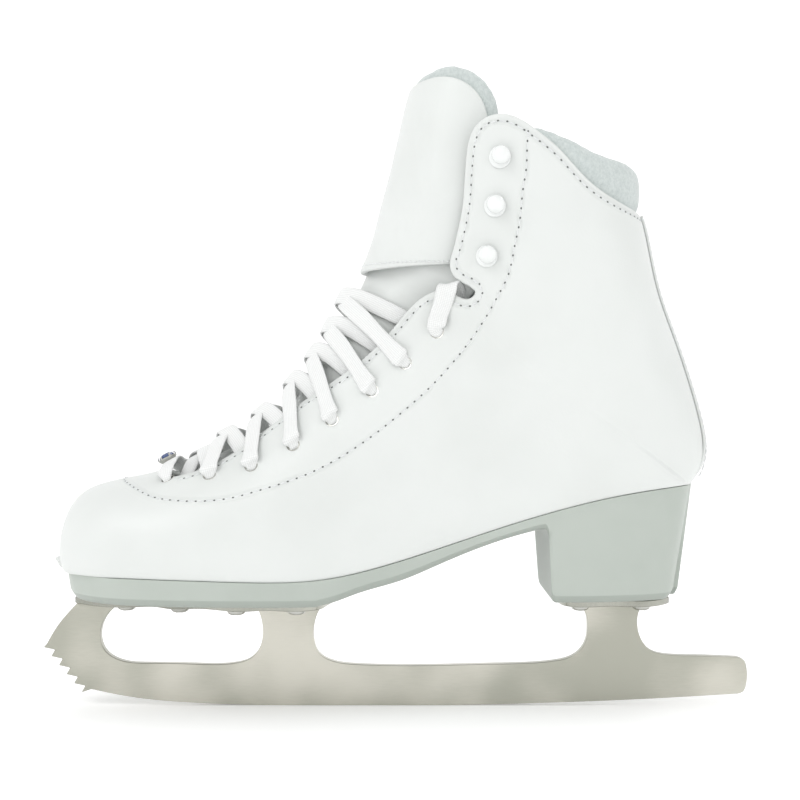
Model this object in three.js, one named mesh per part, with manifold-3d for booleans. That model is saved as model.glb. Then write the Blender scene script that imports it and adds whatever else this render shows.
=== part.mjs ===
// Ladies' figure skate: a leather boot on a moulded sole and heel, with a screwed-on steel blade.
// Millimetres, +Z up. The toe points to -X and the ice is at Z = 0.
import * as THREE from 'three';
import Module from 'manifold-3d';
import { mergeVertices } from 'three/addons/utils/BufferGeometryUtils.js';
import { ParametricGeometry } from 'three/addons/geometries/ParametricGeometry.js';

const wasm = await Module();
wasm.setup();
const { Manifold, Mesh: SolidMesh } = wasm;

// ---------------------------------------------------------------- sizes that can be set
const bootLength = 257;        // toe tip to the back of the heel
const bootWidth = 87;          // across the ball of the foot
const bootHeight = 207.5;      // sole edge at the toe to the top of the tongue
const bladeHeight = 41.7;      // ice to the top of the stanchions
const bladeThickness = 4;
const plateThickness = 2.7;
const soleThickness = 10.7;    // moulded sole under the ball of the foot
const gap = 0.3;               // between pieces that touch

const leather = 2.4;           // upper
const stiffener = 1.3;         // toe puff and heel counter
const lining = 1.1;
const collarPad = 6.5;
const tongueLeather = 1.8;
const tonguePad = 4.6;
const tongueHalfWidth = 31.5;  // in the drawing, since it passes between the flaps
const tongueFootHalfWidth = 26;
const tongueSpread = 0.19;     // the foot of the tongue widens by this much of its height
const tongueCrown = 30;        // how far the sides of the tongue bend back
const tongueBaseThickness = 3.6;
const backstayThickness = 1.2;
const backstayHalfWidth = 11.5;
const backstayFoot = 40;       // where it starts and ends, in the drawing
const backstayTop = 140;

const marginThickness = 2;     // upper turned in under the foot
const marginWidth = 14;
const boardThickness = 2;
const footbedThickness = 4;
const footbedPlay = 1.4;       // all round the footbed, so that it can be taken out
const shankThickness = 1.4;
const shankHalfWidth = 7;

const eyeletBore = 2.5;        // radius
const eyeletWall = 0.4;
const eyeletRim = 0.6;         // thickness of the flange
const eyeletFlange = 4.1;      // radius of the flange behind the leather
const eyeletSeat = 1;          // the flange sits this much deeper, under the leather's curve
const eyeletSunk = 0.8;        // the tube stops this far under the outside
const hookRadius = 4.3;
const hookHeight = 5.4;
const hookBase = 0.8;          // thickness of the flange on the leather
const hookNeck = 2.2;          // radius
const hookCap = 2.4;           // height of the domed cap
const hookRivet = 1.3;         // radius of the part through the leather
const laceWidth = 6.4;
const laceThickness = 1.4;
const laceSlack = 0.8;         // free height behind the eyelets
const laceLift = 1.1;          // clear of the leather it lies on
const screwRadius = 1.7;
const screwHead = 3.6;
const screwHeadHeight = 1.7;
const screwLength = 9;
const screwTip = 1.5;
const gemRadius = 3.4;

// ---------------------------------------------------------------- the drawing's frame
// Outlines below are drawn at these sizes, with z measured from the sole edge at the toe.
const drawnLength = 257;
const drawnWidth = 87;
const drawnHeight = 207.5;
const drawnBladeHeight = 41.7;
const drawnSole = 10.7;

const plateLow = bladeHeight + gap;
const plateTop = plateLow + plateThickness;
const soleBottom = plateTop + gap;
const soleTop = soleBottom + soleThickness;

const along = (x) => x * bootLength / drawnLength;
const across = (y) => y * bootWidth / drawnWidth;
const above = (z) => soleTop + z * bootHeight / drawnHeight;
const below = (z) => soleTop + z * (soleTop - soleBottom) / drawnSole;
const bladeUp = (z) => z * bladeHeight / drawnBladeHeight;
const bootPoint = ([x, z]) => new THREE.Vector2(along(x), above(z));
const bladePoint = ([x, z]) => new THREE.Vector2(along(x), bladeUp(z));

// ---------------------------------------------------------------- solids
function solidOf(geometry) {
  const bare = geometry.clone();
  bare.deleteAttribute('normal');
  bare.deleteAttribute('uv');
  const merged = mergeVertices(bare, 1e-3);
  const corners = merged.index.array;
  const kept = [];
  for (let i = 0; i < corners.length; i += 3) {
    const [a, b, c] = corners.slice(i, i + 3);
    if (a !== b && b !== c && c !== a) kept.push(a, b, c);
  }
  const solid = new Manifold(new SolidMesh({
    numProp: 3,
    vertProperties: new Float32Array(merged.attributes.position.array),
    triVerts: new Uint32Array(kept),
  }));
  if (solid.volume() > 0) return solid;
  return new Manifold(new SolidMesh({
    numProp: 3,
    vertProperties: new Float32Array(merged.attributes.position.array),
    triVerts: new Uint32Array(kept).reverse(),
  }));
}

function geometryOf(solid) {
  const mesh = solid.getMesh();
  const geometry = new THREE.BufferGeometry();
  geometry.setAttribute('position', new THREE.BufferAttribute(new Float32Array(mesh.vertProperties), 3));
  geometry.setIndex(new THREE.BufferAttribute(new Uint32Array(mesh.triVerts), 1));
  geometry.computeVertexNormals();
  return geometry;
}

const cut = (solid, ...tools) => tools.reduce((left, tool) => left.subtract(tool), solid);

// The largest piece, for a cut that leaves crumbs.
function mainPiece(solid) {
  const pieces = solid.decompose();
  return pieces.reduce((best, piece) => (piece.volume() > best.volume() ? piece : best));
}

// A side outline, drawn as x and z, made solid from y = -half to y = half.
function sideSolid(shape, half, curveSegments = 3) {
  const settings = { depth: 2 * half, bevelEnabled: false, curveSegments };
  const geometry = new THREE.ExtrudeGeometry(shape, settings);
  geometry.rotateX(Math.PI / 2);
  geometry.translate(0, half, 0);
  return solidOf(geometry);
}

// A plan outline, drawn as x and y, made solid between two heights.
function planSolid(shape, low, high, curveSegments = 4) {
  const settings = { depth: high - low, bevelEnabled: false, curveSegments };
  const geometry = new THREE.ExtrudeGeometry(shape, settings);
  geometry.translate(0, 0, low);
  return solidOf(geometry);
}

// A turned piece, standing on a point and pointing along a direction.
function turned(profile, segments, place, direction) {
  const geometry = new THREE.LatheGeometry(profile.map(([r, z]) => new THREE.Vector2(r, z)), segments);
  const up = new THREE.Vector3(0, 1, 0);
  geometry.applyQuaternion(new THREE.Quaternion().setFromUnitVectors(up, direction));
  geometry.translate(place.x, place.y, place.z);
  return solidOf(geometry);
}

// A closed skin through rings of points: ringAt(row, around) for row 0 to rows, around 0 to 1.
function skinned(ringAt, rows, columns) {
  const middles = [0, rows].map((row) => {
    const middle = new THREE.Vector3();
    for (let i = 0; i < columns; i++) middle.addScaledVector(ringAt(row, i / columns), 1 / columns);
    return middle;
  });
  const geometry = new ParametricGeometry((a, b, target) => {
    const row = Math.min(Math.max(b * (rows + 2) - 1, 0), rows);
    const onEnd = b < 1e-9 ? middles[0] : b > 1 - 1e-9 ? middles[1] : null;
    target.copy(onEnd ?? ringAt(row, a > 1 - 1e-9 ? 0 : a));
  }, columns, rows + 2);
  return solidOf(geometry);
}

// ---------------------------------------------------------------- shape of the boot
// Sections from the toe to above the top line. low is under the foot or behind the heel, high is
// on the front ridge; foot is half the width along low, wide half the greatest width, and at says
// how far up that is; round is the exponent of the curve over the top.
const sections = [
  { low: [-135, 5], high: [-135.2, 11], foot: 4, wide: 5, at: 0.4, round: 2 },
  { low: [-131.5, 0.6], high: [-132.2, 22], foot: 14, wide: 18.5, at: 0.35, round: 2 },
  { low: [-125, 0], high: [-126.5, 30.6], foot: 23, wide: 27.5, at: 0.32, round: 2.1 },
  { low: [-114, 0], high: [-116.5, 35], foot: 31.5, wide: 35, at: 0.3, round: 2.2 },
  { low: [-100, 0], high: [-105, 37.4], foot: 37, wide: 39.5, at: 0.3, round: 2.1 },
  { low: [-85, -0.2], high: [-93, 40.6], foot: 40, wide: 42, at: 0.3, round: 2 },
  { low: [-70, -0.5], high: [-79.5, 47.5], foot: 41.5, wide: 43.5, at: 0.3, round: 1.9 },
  { low: [-48, -0.9], high: [-58, 58.5], foot: 42, wide: 43.5, at: 0.28, round: 1.8 },
  { low: [-22, 0.8], high: [-38.8, 77], foot: 39, wide: 41, at: 0.26, round: 1.8 },
  { low: [10, 8.9], high: [-27, 94.3], foot: 33, wide: 37.5, at: 0.28, round: 1.8 },
  { low: [45, 20.3], high: [-20, 108.3], foot: 31.5, wide: 36, at: 0.3, round: 1.85 },
  { low: [80, 29.9], high: [-16, 116.3], foot: 32, wide: 36.5, at: 0.34, round: 1.9 },
  { low: [106, 33.9], high: [-13, 123.3], foot: 25, wide: 36.5, at: 0.38, round: 1.95 },
  { low: [115.5, 34.4], high: [-12, 125.5], foot: 14, wide: 36.5, at: 0.4, round: 2 },
  { low: [119.5, 35], high: [-11, 128.3], foot: 0, wide: 36.5, at: 0.42, round: 2 },
  { low: [124.6, 45.7], high: [-9, 134.3], foot: 0, wide: 37, at: 0.44, round: 2 },
  { low: [121.3, 66], high: [-6.5, 144.3], foot: 0, wide: 38, at: 0.46, round: 2 },
  { low: [113, 91.3], high: [-3, 157.3], foot: 0, wide: 40, at: 0.48, round: 2 },
  { low: [105.5, 112.8], high: [1, 174.3], foot: 0, wide: 42, at: 0.5, round: 2 },
  { low: [100.6, 135.2], high: [4, 187.3], foot: 0, wide: 43.5, at: 0.5, round: 2 },
  { low: [97.8, 146], high: [6, 194.3], foot: 0, wide: 44, at: 0.5, round: 2 },
  { low: [98.5, 158], high: [9, 206], foot: 0, wide: 44.5, at: 0.5, round: 2 },
  { low: [94, 174], high: [14, 222], foot: 0, wide: 44.5, at: 0.5, round: 2 },
];
const lastSection = sections.length - 1;
const heelSection = 14;        // the first that closes behind the heel
const bootRows = 22;
const sideSteps = 7;           // ridge to sole edge
const floorSteps = 2;
const bootColumns = 2 * sideSteps + floorSteps;

function smoothAt(u, pick) {
  const place = Math.min(Math.max(u, 0), lastSection - 1e-9);
  const i = Math.floor(place);
  const t = place - i;
  const value = (k) => pick(sections[Math.min(Math.max(k, 0), lastSection)]);
  const [b, c] = [value(i), value(i + 1)];
  const a = i === 0 ? 2 * b - c : value(i - 1);
  const d = i + 2 > lastSection ? 2 * c - b : value(i + 2);
  return 0.5 * (2 * b + (c - a) * t + (2 * a - 5 * b + 4 * c - d) * t * t
    + (3 * b - a - 3 * c + d) * t * t * t);
}

function sectionAt(u) {
  return {
    low: new THREE.Vector2(along(smoothAt(u, (s) => s.low[0])), above(smoothAt(u, (s) => s.low[1]))),
    high: new THREE.Vector2(along(smoothAt(u, (s) => s.high[0])), above(smoothAt(u, (s) => s.high[1]))),
    foot: u >= heelSection ? 0 : Math.max(0, across(smoothAt(u, (s) => s.foot))),
    wide: across(smoothAt(u, (s) => s.wide)),
    at: smoothAt(u, (s) => s.at),
    round: smoothAt(u, (s) => s.round),
  };
}

// t runs 0 at the near sole edge (or the middle of the back), 0.5 on the ridge, 1 at the far edge.
function skinPoint(u, t) {
  const { low, high, foot, wide, at, round } = sectionAt(u);
  const side = t < 0.5 ? -1 : 1;
  const climb = 1 - Math.abs(2 * t - 1);
  const turn = (climb % 0.5) * Math.PI;
  const upper = climb >= 0.5;
  const angle = climb === 1 ? Math.PI / 2 : turn;
  const share = upper
    ? at + (1 - at) * Math.sin(angle) ** (2 / round)
    : at * (1 - Math.cos(angle));
  const half = upper
    ? wide * Math.max(0, Math.cos(angle)) ** (2 / round)
    : foot + (wide - foot) * Math.sin(angle);
  return new THREE.Vector3(
    low.x + (high.x - low.x) * share,
    climb === 1 ? 0 : side * half,
    low.y + (high.y - low.y) * share,
  );
}

function skinNormal(u, t) {
  const step = 0.02;
  const edge = 0.004;
  const u0 = Math.max(u - step, 0);
  const u1 = Math.min(u + step, lastSection);
  const t0 = Math.max(t - edge, 0);
  const t1 = Math.min(t + edge, 1);
  const lengthways = skinPoint(u1, t).sub(skinPoint(u0, t));
  const round = skinPoint(u, t1).sub(skinPoint(u, t0));
  const normal = lengthways.cross(round).normalize();
  const middle = sectionAt(u);
  const outward = skinPoint(u, t).sub(new THREE.Vector3(
    (middle.low.x + middle.high.x) / 2, 0, (middle.low.y + middle.high.y) / 2));
  return normal.dot(outward) < 0 ? normal.negate() : normal;
}

function insetPoint(u, t, inset) {
  const point = skinPoint(u, t).addScaledVector(skinNormal(u, t), -inset);
  const onSeam = (t === 0 || t === 1) && u >= heelSection;
  if (onSeam || t === 0.5) point.y = 0;
  return point;
}

// The boot's whole outside as a solid, moved in by inset.
function bootSolid(inset) {
  const turnShare = 2 * sideSteps / bootColumns;
  return skinned((row, around) => {
    const u = row * lastSection / bootRows;
    if (around <= turnShare + 1e-9) return insetPoint(u, Math.min(1, around / turnShare), inset);
    const floor = (around - turnShare) / (1 - turnShare);
    return insetPoint(u, 1, inset).lerp(insetPoint(u, 0, inset), floor);
  }, bootRows, bootColumns);
}

// Where a point of the side view lies on the skin, as u and t of the near side.
function onSkin([x, z]) {
  const goal = bootPoint([x, z]);
  let best = { miss: Infinity, u: 0, t: 0 };
  for (let u = 0; u <= lastSection; u += 0.25) {
    for (let t = 0; t <= 0.5; t += 0.025) {
      const point = skinPoint(u, t);
      const miss = Math.hypot(point.x - goal.x, point.z - goal.y);
      if (miss < best.miss) best = { miss, u, t };
    }
  }
  for (let step = 0.1; step > 1e-4; step *= 0.6) {
    for (const [du, dt] of [[step, 0], [-step, 0], [0, step / 10], [0, -step / 10]]) {
      const u = Math.min(Math.max(best.u + du, 0), lastSection);
      const t = Math.min(Math.max(best.t + dt, 0), 0.5);
      const point = skinPoint(u, t);
      const miss = Math.hypot(point.x - goal.x, point.z - goal.y);
      if (miss < best.miss) best = { miss, u, t };
    }
  }
  return best;
}

// ---------------------------------------------------------------- outlines in the side view
const farOut = 170;
const reach = 70;              // beyond either side of the boot

function outline(points) {
  const shape = new THREE.Shape();
  shape.moveTo(points[0].x, points[0].y);
  for (const point of points.slice(1)) shape.lineTo(point.x, point.y);
  return shape;
}

// Smooth along points, then closed with straight lines through the corners.
function smoothOutline(points, corners) {
  const shape = new THREE.Shape();
  shape.moveTo(points[0].x, points[0].y);
  shape.splineThru(points.slice(1));
  for (const corner of corners) shape.lineTo(corner.x, corner.y);
  return shape;
}

// Front edge of the leather: up the lacing, round the notch, up the hook flap and down to the back.
const throatEdge = [
  [-96, 45], [-92.5, 39.6], [-84, 39.4], [-62, 49], [-43.4, 63], [-29.9, 72.4], [-20.4, 78.6],
  [-2.5, 94.6], [4.9, 103.5], [10.8, 108.5], [15.4, 110.3], [19.2, 110.6], [24.9, 107.7],
  [28.4, 107.2], [30.4, 109.4], [28.4, 111.6], [24.2, 113.9], [21.5, 117], [20.7, 120.9],
  [21.9, 125.8], [23.7, 133.3], [25.2, 140.8], [25.9, 148.3], [26.6, 159.6], [27.7, 167],
  [30.3, 172.4], [34, 175.1], [39.5, 176.2], [45.1, 174.9], [52.5, 170.3], [62.1, 162.9],
  [73.9, 151.5], [82.2, 146.5], [94.6, 142.5], [108, 141],
];
const liningEdge = [
  [-104, 60], [-98, 30], [-84, 22], [-62, 26], [-33, 38], [-3, 58], [24, 84], [37, 106], [38, 135],
  [40, 150],
];
const collarLow = [[40, 150], [60, 143], [80, 131], [112, 122]];
const collarTop = [
  [99.5, 151.5], [99, 156.7], [96.6, 159], [92.1, 160.3], [86.9, 161], [77.8, 162.3], [70.2, 165.4],
  [62.6, 168.1], [55, 170.5], [48, 170],
];
const counterTop = [[34, 10], [48, 40], [72, 74], [90, 92], [125, 96]];
const puffBack = [[-104, -10], [-100, 20], [-98, 60]];
const puffFront = -132.3;      // a flat on the tip keeps it off the upper

const throatCutter = sideSolid(smoothOutline(throatEdge.map(bootPoint), [
  [farOut, 141], [farOut, 260], [-96, 260],
].map(bootPoint)), reach, 2);

// The line under the foot, at the rows of the skin, lifted by a height.
function floorLine(lift) {
  const line = [];
  for (let row = 0; row <= bootRows; row++) {
    const u = row * lastSection / bootRows;
    if (u > 1.8 && u < heelSection) line.push(sectionAt(u).low);
  }
  line.push(sectionAt(heelSection).low);
  return line.map((point) => new THREE.Vector2(point.x, point.y + lift));
}

function underFloor(lift) {
  const line = floorLine(lift);
  const front = line[0];
  const back = line[line.length - 1];
  return sideSolid(outline([
    new THREE.Vector2(along(-farOut), front.y), ...line, new THREE.Vector2(along(farOut), back.y),
    new THREE.Vector2(along(farOut), -10), new THREE.Vector2(along(-farOut), -10),
  ]), reach);
}

const floorLayer = (low, high) => underFloor(high).subtract(underFloor(low));

// Half outline of the foot in plan, then its mirror image, moved in by inset.
function footOutline(inset) {
  const half = [];
  const steps = 26;
  for (let i = 0; i <= steps; i++) {
    const section = sectionAt(i * heelSection / steps);
    half.push([section.low.x, section.foot]);
  }
  const moved = half.map(([x, y], i) => {
    const [px, py] = half[Math.max(i - 1, 0)];
    const [nx, ny] = half[Math.min(i + 1, steps)];
    const size = Math.hypot(nx - px, ny - py);
    return new THREE.Vector2(x + (ny - py) / size * inset, y - (nx - px) / size * inset);
  }).filter((point) => point.y > 1);
  const mirrored = moved.map((point) => new THREE.Vector2(point.x, -point.y)).reverse();
  return [...moved, ...mirrored];
}

// ---------------------------------------------------------------- materials
function finish(color, roughness, metalness = 0) {
  return new THREE.MeshStandardMaterial({ color, roughness, metalness });
}

const whiteLeather = finish(0xf1f3f3, 0.42);
const greyFleece = finish(0xb9bfc0, 0.95);
const greySole = finish(0xbcc6c1, 0.5);
const fibreBoard = finish(0x9a8a72, 0.9);
const stiffBoard = finish(0xd9d3c6, 0.8);
const foam = finish(0xc9cdce, 0.9);
const bladeSteel = finish(0xc3c0b8, 0.28, 1);
const plateSteel = finish(0xb9bab6, 0.3, 1);
const springSteel = finish(0x8e9296, 0.45, 1);
const whiteEnamel = finish(0xeef0f0, 0.25);
const whiteCotton = finish(0xf4f5f5, 0.9);
const nickel = finish(0xc8c9c8, 0.25, 1);
const blueCrystal = finish(0x1d4c86, 0.08);

const skate = new THREE.Group();

function add(name, solid, material) {
  const mesh = new THREE.Mesh(geometryOf(solid), material);
  mesh.name = name;
  skate.add(mesh);
  return solid;
}

// ---------------------------------------------------------------- blade
function bladeShape() {
  const shape = new THREE.Shape();
  const at = (x, z) => bladePoint([x, z]).toArray();
  const smooth = (points) => shape.splineThru(points.map(bladePoint));
  shape.moveTo(...at(-128.8, 41.7));
  smooth([[-133, 37.2], [-136.6, 32.8], [-141.3, 25]]);
  const tip = [-142.6, 23.6];
  const root = [-138, 22.6];
  const pitch = [3.08, -3.65];
  const teeth = 6;
  for (let tooth = 0; tooth < teeth; tooth++) {
    shape.lineTo(...at(tip[0] + pitch[0] * tooth, tip[1] + pitch[1] * tooth));
    const hollow = [root[0] + pitch[0] * tooth, root[1] + pitch[1] * tooth];
    if (tooth < teeth - 1) shape.lineTo(...at(...hollow));
  }
  shape.lineTo(...at(-123.4, 6.6));
  smooth([[-112, 4.2], [-95.7, 2], [-79.5, 0.9], [-63, 0.2], [-40, 0]]);
  shape.lineTo(...at(20, 0));
  smooth([[58.7, 0.9], [91.3, 2.1], [123.8, 3.8], [140.2, 5]]);
  smooth([[142.1, 8], [142.6, 12.4], [141.2, 16], [138, 18.5], [133.9, 19.6]]);
  shape.lineTo(...at(109.6, 20.3));
  smooth([[103.5, 21.6], [99.6, 26], [97.6, 33], [98.6, 38.5], [100.5, 41.7]]);
  shape.lineTo(...at(73.5, 41.7));
  smooth([[77, 38.4], [77.8, 32.3], [77, 26.2], [73.5, 21], [64.8, 18.2], [42.5, 16.9], [1.8, 16.2]]);
  smooth([[-16, 16.7], [-25.8, 17.9], [-31, 21], [-33.1, 26.2], [-32.9, 33], [-31.3, 38], [-29, 41.7]]);
  shape.lineTo(...at(-57, 41.7));
  smooth([[-54.4, 36.4], [-53.5, 30], [-54.4, 24], [-58, 19.3], [-65.2, 17]]);
  shape.lineTo(...at(-100, 17));
  smooth([[-112.8, 18.1], [-118, 22], [-119.6, 27.5], [-118.4, 34], [-115, 38.6], [-111, 41.7]]);
  return shape;
}

function makeBlade() {
  add('blade_runner', sideSolid(bladeShape(), bladeThickness / 2, 1), bladeSteel);
}

// ---------------------------------------------------------------- plates and screws
const soleScrews = [[-107, 11.5], [-85, 17], [-62, 24], [-38.6, 23.5]];
const heelScrews = [[73.5, 12], [98, 11]];

const soleScrewPlaces = soleScrews.flatMap(([x, y]) => [[along(x), across(-y)], [along(x), across(y)]]);
const heelScrewPlaces = heelScrews.flatMap(([x, y]) => [[along(x), across(-y)], [along(x), across(y)]]);

function mirroredPlan(points) {
  const near = points.map(([x, y]) => new THREE.Vector2(along(x), across(-y)));
  const far = points.map(([x, y]) => new THREE.Vector2(along(x), across(y))).reverse();
  const shape = new THREE.Shape();
  shape.moveTo(near[0].x, near[0].y);
  shape.splineThru(near.slice(1));
  shape.lineTo(far[0].x, far[0].y);
  shape.splineThru(far.slice(1));
  return shape;
}

function screwHole([x, y], low, high) {
  const hole = new THREE.CylinderGeometry(screwRadius + gap, screwRadius + gap, high - low, 10);
  hole.rotateX(Math.PI / 2);
  hole.translate(x, y, (low + high) / 2);
  return solidOf(hole);
}

const screwSeat = plateLow - gap;
const screwTop = screwSeat + screwLength;
const screwHoles = [...soleScrewPlaces, ...heelScrewPlaces]
  .map((place) => screwHole(place, screwSeat, screwTop + gap));

function makePlates() {
  const solePlan = [
    [-129, 5], [-125, 9], [-114, 17], [-105, 18], [-96, 16.5], [-87, 23], [-79, 22], [-70, 25],
    [-60, 30], [-50, 27], [-40, 29.5], [-31, 26], [-27, 14], [-25.5, 6],
  ];
  const heelPlan = [[65.5, 6], [68, 15], [74, 18], [86, 15], [97, 17], [105, 13], [110, 6]];
  const solePlate = planSolid(mirroredPlan(solePlan), plateLow, plateTop, 2);
  const heelPlate = planSolid(mirroredPlan(heelPlan), plateLow, plateTop, 3);
  add('sole_plate', cut(solePlate, ...screwHoles.slice(0, soleScrewPlaces.length)), plateSteel);
  add('heel_plate', cut(heelPlate, ...screwHoles.slice(soleScrewPlaces.length)), plateSteel);
}

function makeScrews() {
  const profile = [
    [0, screwLength], [screwRadius * 0.5, screwLength], [screwRadius, screwLength - screwTip],
    [screwRadius, 0], [screwHead, 0], [screwHead * 0.75, -screwHeadHeight * 0.75], [0, -screwHeadHeight],
  ];
  const up = new THREE.Vector3(0, 0, 1);
  const place = ([x, y], name) => {
    add(name, turned(profile, 10, new THREE.Vector3(x, y, screwSeat), up), nickel);
  };
  soleScrewPlaces.forEach((spot, i) => place(spot, `sole_screw_${i + 1}`));
  heelScrewPlaces.forEach((spot, i) => place(spot, `heel_screw_${i + 1}`));
}

// ---------------------------------------------------------------- sole
const soleUnderside = [
  [-30, -10.6], [-20, -8], [-14, -5.6], [2, -1.5], [17, 4.6], [33, 11.2], [48, 16.2], [58.5, 19],
];
const soleRim = 0.8;           // sole stands out past the upper
const soleBevel = 2.5;
const soleTaper = 0.16;        // each side leans in by this much of the depth
const heelBreast = 60;         // front of the heel
const soleFlatBack = -44;      // the flat under the ball of the foot ends here
const soleEnds = 140;          // past the toe and the heel

function makeOutsole() {
  const line = floorLine(-gap);
  const waist = soleUnderside.map(([x, z]) => new THREE.Vector2(along(x), Math.max(soleBottom, above(z))));
  const back = line[line.length - 1];
  const flat = (x) => new THREE.Vector2(along(x), soleBottom);
  const profile = outline([
    new THREE.Vector2(along(-soleEnds), line[0].y), ...line, new THREE.Vector2(along(soleEnds), back.y),
    flat(soleEnds), flat(heelBreast), ...waist.reverse(), flat(soleFlatBack), flat(-soleEnds),
  ]);
  const ring = footOutline(-soleRim);
  const topAt = (x) => {
    const i = line.findIndex((point) => point.x > x);
    if (i < 1) return i === 0 ? line[0].y : line[line.length - 1].y;
    const share = (x - line[i - 1].x) / (line[i].x - line[i - 1].x);
    return line[i - 1].y + (line[i].y - line[i - 1].y) * share;
  };
  // Rings of the side wall: depth under the top edge, and how far in it is.
  const levels = [
    [-8, 0], [0, 0], [soleThickness - soleBevel, 0], [soleThickness, soleBevel / 2], [60, soleBevel / 2],
  ];
  const block = skinned((row, around) => {
    const i = Math.round(around * ring.length) % ring.length;
    const before = ring[(i + ring.length - 1) % ring.length];
    const after = ring[(i + 1) % ring.length];
    const inward = new THREE.Vector2(after.y - before.y, before.x - after.x).normalize();
    const [depth, bevel] = levels[Math.round(row)];
    const place = ring[i].clone().addScaledVector(inward, soleTaper * Math.max(0, depth) + bevel);
    return new THREE.Vector3(place.x, place.y, topAt(ring[i].x) - depth);
  }, levels.length - 1, ring.length);
  const sole = mainPiece(block.intersect(sideSolid(profile, reach)));
  add('outsole', cut(sole, ...screwHoles), greySole);
}

// ---------------------------------------------------------------- layers under the foot
const boardLow = marginThickness + gap;
const boardHigh = boardLow + boardThickness;
const footbedLow = boardHigh + gap;
const wallLow = footbedLow + footbedThickness;

function makeShank() {
  const low = sectionAt(0).low.y - 10;
  const bar = mirroredPlan([
    [-30, 3], [-27, shankHalfWidth], [40, shankHalfWidth], [92, shankHalfWidth], [95, 3],
  ]);
  const strip = planSolid(bar, low, above(drawnHeight), 1);
  add('shank', strip.intersect(floorLayer(gap, gap + shankThickness)), springSteel);
}

function makeFootLayers() {
  const board = floorLayer(boardLow, boardHigh).intersect(bootSolid(leather + gap));
  add('insole_board', mainPiece(board), fibreBoard);
  const plan = planSolid(outline(footOutline(leather + 2 * footbedPlay)), 0, above(drawnHeight), 1);
  const bed = floorLayer(footbedLow, wallLow - gap).intersect(bootSolid(leather + gap + footbedPlay));
  add('footbed', mainPiece(bed.intersect(plan)), foam);
}

// ---------------------------------------------------------------- upper and its layers
const eyeletSpots = [
  [-89, 37.5], [-71.7, 39.2], [-55.4, 42.7], [-39.3, 50.8], [-24.4, 60.4], [-9, 71.6], [3.8, 82.4],
  [16.1, 94.3],
];
const hookSpots = [[35, 123], [37.9, 141.7], [39.6, 159.8]];
const sides = { near: 1, far: -1 };
const holeIn = 8;              // how far a hole's cutter reaches into and out of the leather
const holeOut = 4;

function mirrored(point, side) {
  return new THREE.Vector3(point.x, point.y * side, point.z);
}

const eyelets = eyeletSpots.map(onSkin);
const hooks = hookSpots.map(onSkin);

function skinFrame(spot, side) {
  return {
    place: mirrored(skinPoint(spot.u, spot.t), side),
    out: mirrored(skinNormal(spot.u, spot.t), side),
  };
}

function makeUpper() {
  const outside = bootSolid(0);
  const cavity = bootSolid(leather).subtract(underFloor(marginThickness));
  const underMargin = underFloor(marginThickness + 1);
  const marginHole = planSolid(outline(footOutline(marginWidth)), 0, above(60)).intersect(underMargin);
  const rows = [[eyelets, eyeletBore + eyeletWall + gap], [hooks, hookRivet + gap]];
  const holes = [];
  for (const side of Object.values(sides)) {
    for (const [spots, radius] of rows) {
      const profile = [[0, -holeIn], [radius, -holeIn], [radius, holeOut], [0, holeOut]];
      for (const spot of spots) {
        const { place, out } = skinFrame(spot, side);
        holes.push(turned(profile, 10, place, out));
      }
    }
  }
  const upper = cut(outside, cavity, marginHole, throatCutter, ...holes);
  add('upper', mainPiece(upper), whiteLeather);
}

function makeStiffeners() {
  const outer = leather + gap;
  const layer = bootSolid(outer).subtract(bootSolid(outer + stiffener)).subtract(underFloor(wallLow));
  const behind = [[farOut, 96], [farOut, 0], [34, 0]];
  const ahead = [[puffFront, 60], [puffFront, -10]];
  const heel = smoothOutline(counterTop.map(bootPoint), behind.map(bootPoint));
  const toe = smoothOutline(puffBack.map(bootPoint), ahead.map(bootPoint));
  add('heel_counter', mainPiece(layer.intersect(sideSolid(heel, reach))), stiffBoard);
  add('toe_puff', mainPiece(layer.intersect(sideSolid(toe, reach))), stiffBoard);
}

function makeLining() {
  const outer = leather + stiffener + 2 * gap;
  const layer = bootSolid(outer).subtract(bootSolid(outer + lining)).subtract(underFloor(wallLow));
  const opening = smoothOutline(liningEdge.map(bootPoint), []);
  opening.splineThru(collarLow.slice(1).map(bootPoint));
  for (const corner of [[farOut, 122], [farOut, 260], [-92, 260]]) {
    opening.lineTo(...bootPoint(corner).toArray());
  }
  add('lining', mainPiece(layer.subtract(sideSolid(opening, reach, 2))), greyFleece);
}

function makeCollar() {
  const outer = leather + gap;
  const layer = bootSolid(outer).subtract(bootSolid(outer + collarPad));
  const low = collarLow.map(([x, z]) => bootPoint([x, z]).add(new THREE.Vector2(0, gap)));
  const band = new THREE.Shape();
  band.moveTo(low[0].x, low[0].y);
  band.splineThru(low.slice(1));
  const top = collarTop.map(bootPoint);
  band.lineTo(low[low.length - 1].x, top[0].y);
  band.lineTo(top[0].x, top[0].y);
  band.splineThru(top.slice(1));
  add('collar', mainPiece(layer.intersect(sideSolid(band, reach, 2))), greyFleece);
}

function makeBackstay() {
  const layer = bootSolid(-gap - backstayThickness).subtract(bootSolid(-gap));
  const [foot, top] = [above(backstayFoot), above(backstayTop)];
  const box = new THREE.BoxGeometry(along(100), 2 * backstayHalfWidth, top - foot);
  box.translate(along(120), 0, (top + foot) / 2);
  add('backstay', mainPiece(layer.intersect(solidOf(box)).subtract(throatCutter)), whiteLeather);
}

// ---------------------------------------------------------------- tongue
const tongueInset = leather + eyeletSeat + 3 * gap + eyeletRim + laceThickness + laceSlack;
const creaseHeight = 118.5;    // where the upper piece of the tongue overlaps the lower one
const tongueReach = 75;        // the gutter's straight sides run this far back, to be cut

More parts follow.
